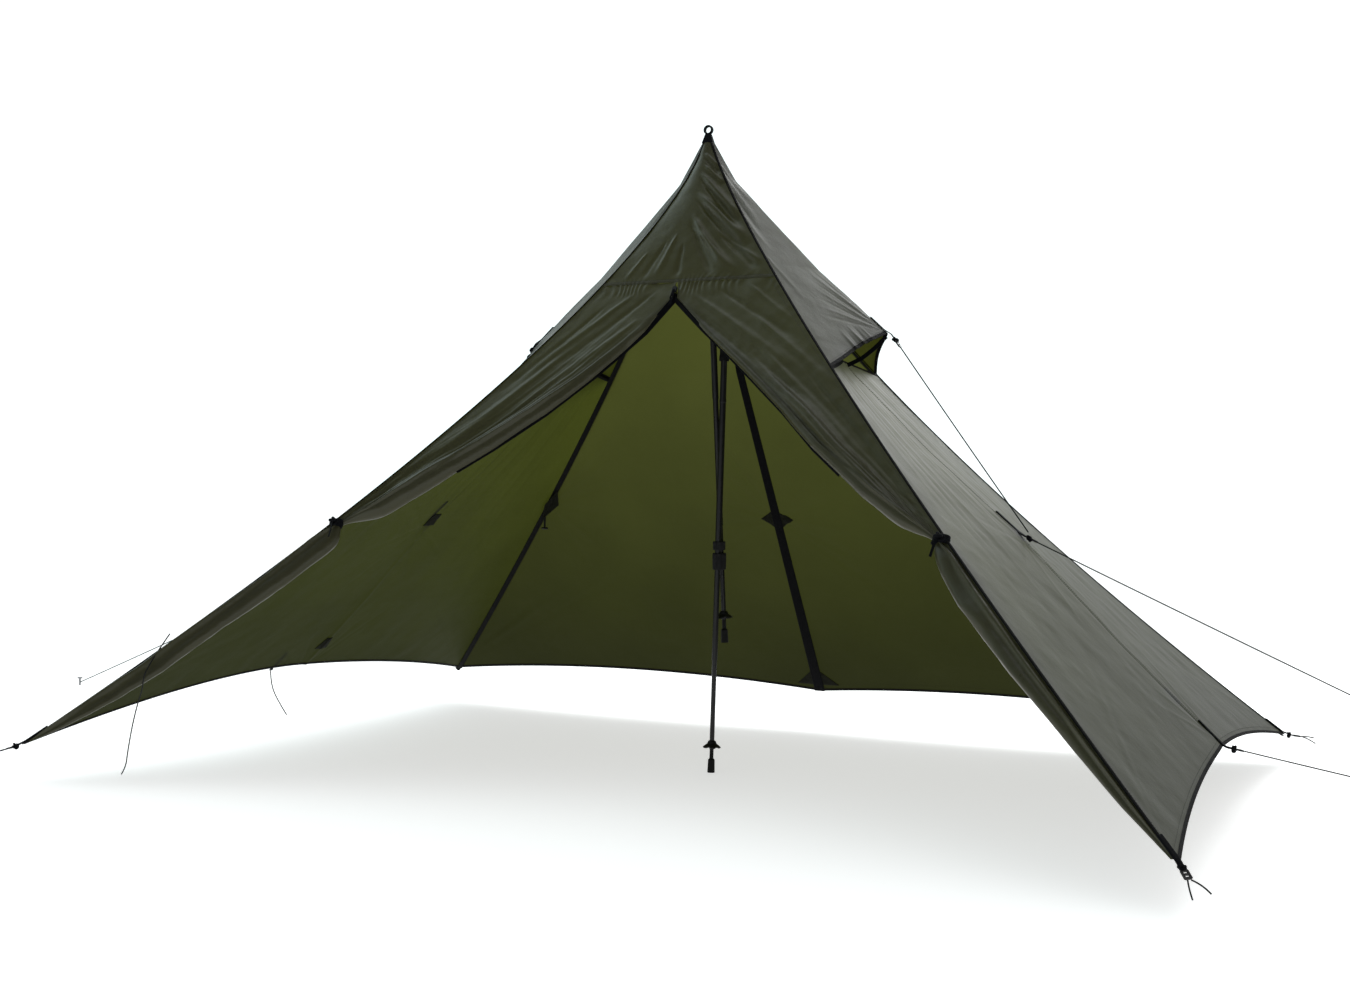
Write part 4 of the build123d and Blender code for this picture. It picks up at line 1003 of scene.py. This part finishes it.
def tube(path, radius, surface, closed=False, sides=10):
    """Round tube along a path."""
    path = np.asarray(path, float)
    tangent = unit(np.roll(path, -1, 0) - np.roll(path, 1, 0) if closed else np.gradient(path, axis=0))
    up = np.array([0.31, 0.22, 0.92])
    a = unit(np.cross(tangent, up))
    b = np.cross(tangent, a)
    turn = np.linspace(0, 2 * pi, sides, endpoint=False)
    spokes = a[:, None] * np.cos(turn)[None, :, None] + b[:, None] * np.sin(turn)[None, :, None]
    rings = path[:, None] + radius * spokes
    faces = grid_faces(len(path), sides, wrap=True)
    if closed:
        last, k = (len(path) - 1) * sides, np.arange(sides)
        faces += np.stack([last + k, last + (k + 1) % sides, (k + 1) % sides, k], 1).tolist()
    else:
        faces += [list(range(sides))[::-1], [(len(path) - 1) * sides + k for k in range(sides)]]
    uv = np.stack([np.tile(turn * radius, len(path)), np.repeat(np.arange(len(path)) * radius, sides)], 1)
    return mesh_object("tube", rings.reshape(-1, 3), faces, surface, uv)


def on_cloth(grid, target, sign, lift=0.0016):
    """Point just off a cloth, at its grid point nearest to a target."""
    flat = grid.reshape(-1, 3)
    k = int(((flat - np.asarray(target)) ** 2).sum(1).argmin())
    n = grid_normals(grid).reshape(-1, 3)[k]
    return flat[k] + n * (1 if n[0] * sign > 0 else -1) * lift


def on_side(side, z, y):
    """Point just off a side panel at a height and a y."""
    front = ridge("front_" + side, np.array(z))[1]
    back = ridge("back_" + side, np.array(z))[1]
    return on_cloth(PANELS[side], side_point(side, z, (y - front) / (back - front)), SIGN[side])


def on_hood(side, z):
    """Point just off the middle of a hood."""
    return on_cloth(HOODS[side], side_point(side, z, .5, True), SIGN[side])


ties = []
for side, y, high, low, end_a, end_b, thick in (
    ("right", 0, .712, .662, (.867, .001, .655), (.8835, .0087, .6455), .0034),
    ("left", 0, .712, .662, (-.867, .001, .655), (-.8855, .0063, .648), .0034),
    ("right", 0, .225, .180, (1.353, 0, .170), (1.3735, .009, .165), .0036),
    ("left", -.15, .262, .222, (-1.308, -.15, .214), (-1.312, -.15, .207), .0018),
):
    ties.append(strip([on_side(side, high, y), on_side(side, low, y), end_a, end_b], (0, 1, 0), thick=thick))
for side, sign in (("right", 1), ("left", -1)):
    hanging = [on_hood(side, 1.205), on_hood(side, 1.170), (sign * .520, 0, 1.160), (sign * .533, 0, 1.142)]
    ties.append(strip(hanging, (0, 1, 0), .013))
TIE_KNOTS = [(.881, .007, .6465), (-.883, .005, .649), (1.371, .008, .1655), (.531, 0, 1.145),
             (-.532, 0, 1.143)]
ties += [knot(place, .0075, WEBBING, seed) for seed, place in enumerate(TIE_KNOTS)]
join("tie_out_webbing_look", ties, "canopy", ["tie_out_webbing"])


def corner_strip(corner, end):
    """Webbing along the last part of a ridge and on to its adjuster."""
    side = -1 if corner.endswith("left") else 1
    front = -1 if corner.startswith("front") else 1
    thick = .0034 if corner == "back_right" else .0044
    low = CORNER_Z[corner]
    lift = np.array([side * .5, front * .5, .7]) * .003
    path = [ridge(corner, np.array(low + h)) + lift for h in (.042, .022, .006)]
    return strip(path + [end], (-side * .5, front * .7, 0), .014, thick)


corners = [corner_strip("front_left", (-1.4185, -1.0115, .086)),
           corner_strip("front_right", (1.4012, -1.0126, .0869)),
           corner_strip("back_right", (1.4168, 1.0160, .0770)),
           corner_strip("back_left", (-1.4029, 1.0141, .1051))]
CORNER_KNOTS = [(-1.416, -1.011, .087), (1.400, -1.0115, .0890), (1.4085, 1.0130, .0780),
                (-1.4015, 1.0125, .107)]
corners += [knot(place, .0072, WEBBING, seed) for seed, place in enumerate(CORNER_KNOTS)]
join("corner_webbing_look", corners, "canopy", ["corner_webbing"])

for side, sign in SIGN.items():
    bow = [(sign * .507, 0, 1.154), (sign * .478, -.006, 1.124), (sign * .446, -.012, 1.098),
           (sign * .410, -.018, 1.081)]
    piece = strip(bow, (-sign * .6, -.1, .8), .011, .0024, soft=20)
    piece.name = side + "_strut_look"
    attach(piece, side + "_vent_strut")
    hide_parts(side + "_vent_strut")


# ---------------------------------------------------------------- door ties
for side in ("left", "right"):
    grid, corner, edge, z, out, across, width = DOORS[side]
    k = int(np.argmin(np.abs(z - TIE_Z)))
    section = grid[k].reshape(-1, 3) - corner[k]
    a_low, a_high = -.006, np.percentile(section @ across[k], 97) + .003
    b_low = np.percentile(section @ out[k], 3) - .004
    b_high = max(np.percentile(section @ out[k], 97) + .003, .006)
    turn = np.linspace(0, 2 * pi, 61)
    ring = (corner[k] + across[k] * ((a_low + a_high) / 2 + (a_high - a_low) / 2 * np.cos(turn))[:, None]
            + out[k] * ((b_low + b_high) / 2 + (b_high - b_low) / 2 * np.sin(turn))[:, None])
    down = np.cross(across[k], out[k])
    down *= -np.sign(down[2])
    front_point = corner[k] + across[k] * (a_low + a_high) * .5 + out[k] * (b_high + .004)
    upper = ring + down * .004 + out[k] * .0012
    slant = np.tile(down + across[k] * .35, (61, 1))
    bits = [tape("band", ring, np.tile(down, (61, 1)), .022, .0022, WEBBING, None, wave=.0008),
            tape("band", upper, slant, .012, .0018, WEBBING, None, wave=.0008),
            knot(front_point, .0105, WEBBING, 3)]
    for reach, fall in ((.010, .052), (.004, .018)):
        halfway = front_point + out[k] * .006 + across[k] * reach * .5 + down * fall * .35
        tail = np.array([front_point, halfway,
                         front_point + out[k] * .003 + across[k] * reach + down * fall])
        bits.append(strip(tail, across[k] + .4 * out[k], .006, .0012, soft=10))
    join(side + "_tie_look", bits, "canopy", [side + "_door_tie"])

# ---------------------------------------------------------------- straps round the poles
POLE_A = (np.array([.039, -.004, 0]), np.array([.049, .023, 1.25]))
POLE_B = (np.array([.053, .043, .345]), np.array([-.004, -.002, 1.645]))


def pole_at(pole, z):
    """Plan position of a pole at height z."""
    t = (z - pole[0][2]) / (pole[1][2] - pole[0][2])
    return pole[0][:2] + (pole[1][:2] - pole[0][:2]) * t


def hull(points):
    """Corners of the convex outline of plan points, in order."""
    points = sorted(map(tuple, points))
    outline = []
    for run_through in (points, points[::-1]):
        part = []
        for p in run_through:
            while len(part) > 1 and ((part[-1][0] - part[-2][0]) * (p[1] - part[-2][1])
                                     - (part[-1][1] - part[-2][1]) * (p[0] - part[-2][0])) <= 0:
                part.pop()
            part.append(p)
        outline += part[:-1]
    return np.array(outline)


straps = []
for low, height, grow in ((.540, .048, .0032), (.593, .026, .0034)):
    z = low + height / 2
    a, b = pole_at(POLE_A, z), pole_at(POLE_B, z)
    turn = np.linspace(0, 2 * pi, 48, endpoint=False)
    ring = np.stack([np.cos(turn), np.sin(turn)], 1)
    outline = hull(np.concatenate([a + ring * (.0086 + grow), b + ring * (.0064 + grow)]))
    outline = np.concatenate([outline, outline[:14]])
    spiral = np.linspace(0, .0022, len(outline))[:, None]
    centre = (a + b) / 2
    outline = outline + unit(outline - centre) * spiral
    path = np.concatenate([outline, np.full((len(outline), 1), z)], 1)
    upright = np.tile([0, 0, 1.0], (len(path), 1))
    straps.append(tape("strap", path, upright, height - .003, .0022, STRAP, None, wave=.0012))
join("pole_straps_look", straps, "canopy", ["pole_straps"])

# ---------------------------------------------------------------- patches on the inner face
def patch_look(name, inset):
    """Patches of a CAD node, moved inwards to lie on the creased cloth."""
    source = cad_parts[name]
    places = np.array([tuple(source.matrix_world @ v.co) for v in source.data.vertices])
    inward = -places.copy()
    inward[:, 2] = -0.35
    faces = [list(face.vertices) for face in source.data.polygons]
    made = mesh_object(name + "_look", places + unit(inward) * inset, faces, PATCH,
                       places[:, [1, 2]], smooth=False)
    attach(made, "canopy")
    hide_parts(name)


patch_look("ridge_patches", 0.009)


def sewn_patch(grid, corners, towards):
    """Patch between four corners, lying on one face of a cloth."""
    n = grid_normals(grid)
    n = (n * np.where((n * np.asarray(towards)).sum(-1, keepdims=True) < 0, -1.0, 1.0)).reshape(-1, 3)
    flat = grid.reshape(-1, 3)
    a, b, c, d = (np.asarray(corner, float) for corner in corners)
    s, t = np.meshgrid(np.linspace(0, 1, 16), np.linspace(0, 1, 16))
    target = ((1 - s) * (1 - t))[..., None] * a + (s * (1 - t))[..., None] * b
    target = target + (s * t)[..., None] * c + ((1 - s) * t)[..., None] * d
    layers = []
    for lift in (0.0004, 0.0018):
        found = []
        for place in target.reshape(-1, 3):
            k = int(((flat - place) ** 2).sum(1).argmin())
            off = place - flat[k]
            found.append(place - n[k] * (off @ n[k]) + n[k] * lift)
        layers.append(np.array(found))
    rim = list(range(16)) + [16 * k + 15 for k in range(1, 16)]
    rim += [240 + k for k in range(14, -1, -1)] + [16 * k for k in range(14, 0, -1)]
    faces = grid_faces(16, 16, True) + grid_faces(16, 16, False, start=256)
    faces += [[rim[k], rim[(k + 1) % 60], 256 + rim[(k + 1) % 60], 256 + rim[k]] for k in range(60)]
    flat_uv = np.stack([s, t], -1).reshape(-1, 2) * .06
    return mesh_object("patch", np.concatenate(layers), faces, PATCH, np.concatenate([flat_uv, flat_uv]))


sewn = []
for side, sign in SIGN.items():
    for x, z in ((.850, TIE_Z), (.850 + .361, .262)):
        corners = [(sign * (x + .019), -.027, z - .017), (sign * (x + .019), .027, z - .017),
                   (sign * (x - .015), .015, z + .019), (sign * (x - .015), -.015, z + .019)]
        sewn.append(sewn_patch(PANELS[side], corners, (-sign, 0, -.9)))
for z, shape in ((.672, [(-.052, 0), (0, -.046), (.052, 0), (0, .046)]),
                 (.165, [(-.070, -.032), (.070, -.032), (.016, .034), (-.016, .034)])):
    middle = float(along(BACK_MIDDLE, z))
    for side, sign in SIGN.items():
        half = [(max(sign * x, 0) * sign, middle, z + y) for x, y in shape]
        sewn.append(sewn_patch(PANELS["back_" + side], half, (0, -1, -.7)))
join("panel_patches_look", sewn, "canopy", ["panel_patches"])

# ---------------------------------------------------------------- CAD pieces that keep their shape
FINISHES = {
    "_shaft": SHAFT, "lower_shaft": SHAFT_LOW, "grip": FOAM, "basket": PLASTIC, "tip_cover": RUBBER,
    "pegs": PEG, "adjuster": PLASTIC, "slider": METAL, "pull": WEBBING, "toggle": PLASTIC,
    "patches": PATCH, "cap": WEBBING,
}
for name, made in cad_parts.items():
    for part, surface in FINISHES.items():
        if part in name:
            made.data.materials.clear()
            made.data.materials.append(surface)

# ---------------------------------------------------------------- floor and light
floor_material, tree, bsdf = shader("floor_paper", (0.85, 0.85, 0.85), 0.85, Specular_IOR_Level=0.1,
                                    Emission_Color=(1, 1, 1, 1), Emission_Strength=0.62)
rough_variation(tree, node(tree, "TexCoord").outputs["Object"], bsdf, 0.82, 0.9, 3.0)
floor_corners = [(-60, -60, -.0005), (60, -60, -.0005), (60, 60, -.0005), (-60, 60, -.0005)]
floor = mesh_object("floor", floor_corners, [[0, 1, 2, 3]], floor_material, smooth=False)

# White studio: bright behind the tent, dimmer towards its doors and its right side, and slightly
# blue towards its left side.
world = bpy.data.worlds.new("studio")
world.use_nodes = True
tree = world.node_tree
split = node(tree, "SeparateXYZ")
tree.links.new(node(tree, "TexCoord").outputs["Generated"], split.inputs["Vector"])
backdrop = node(tree, "MapRange", From_Min=-0.5, From_Max=0.2, To_Min=0.22, To_Max=1.3)
tree.links.new(split.outputs["Y"], backdrop.inputs["Value"])
tint = node(tree, "ValToRGB")
tint.color_ramp.elements[0].color = (0.80, 1.0, 1.0, 1)
tint.color_ramp.elements[1].color = (1.0, 1.0, 1.0, 1)
reach = node(tree, "MapRange", From_Min=-1.0, From_Max=0.3)
tree.links.new(split.outputs["X"], reach.inputs["Value"])
tree.links.new(reach.outputs["Result"], tint.inputs["Fac"])
tree.links.new(tint.outputs["Color"], tree.nodes["Background"].inputs["Color"])
dim = node(tree, "MapRange", From_Min=0.0, From_Max=0.4, To_Min=1.0, To_Max=0.45)
tree.links.new(split.outputs["X"], dim.inputs["Value"])
both = node(tree, "Math", operation="MULTIPLY")
tree.links.new(backdrop.outputs["Result"], both.inputs[0])
tree.links.new(dim.outputs["Result"], both.inputs[1])
tree.links.new(both.outputs[0], tree.nodes["Background"].inputs["Strength"])
scene.world = world


def lamp(name, place, target, size, power, colour=(1, 1, 1)):
    """Soft area light aimed at a point."""
    data = bpy.data.lights.new(name, "AREA")
    data.shape = "DISK"
    data.size = size
    data.energy = power
    data.color = colour
    made = bpy.data.objects.new(name, data)
    scene.collection.objects.link(made)
    made.location = place
    made.rotation_euler = (Vector(target) - Vector(place)).to_track_quat("-Z", "Y").to_euler()
    return made


lamp("key", (0.4, 2.7, 2.9), (.05, .3, 1.2), 2.6, 75)
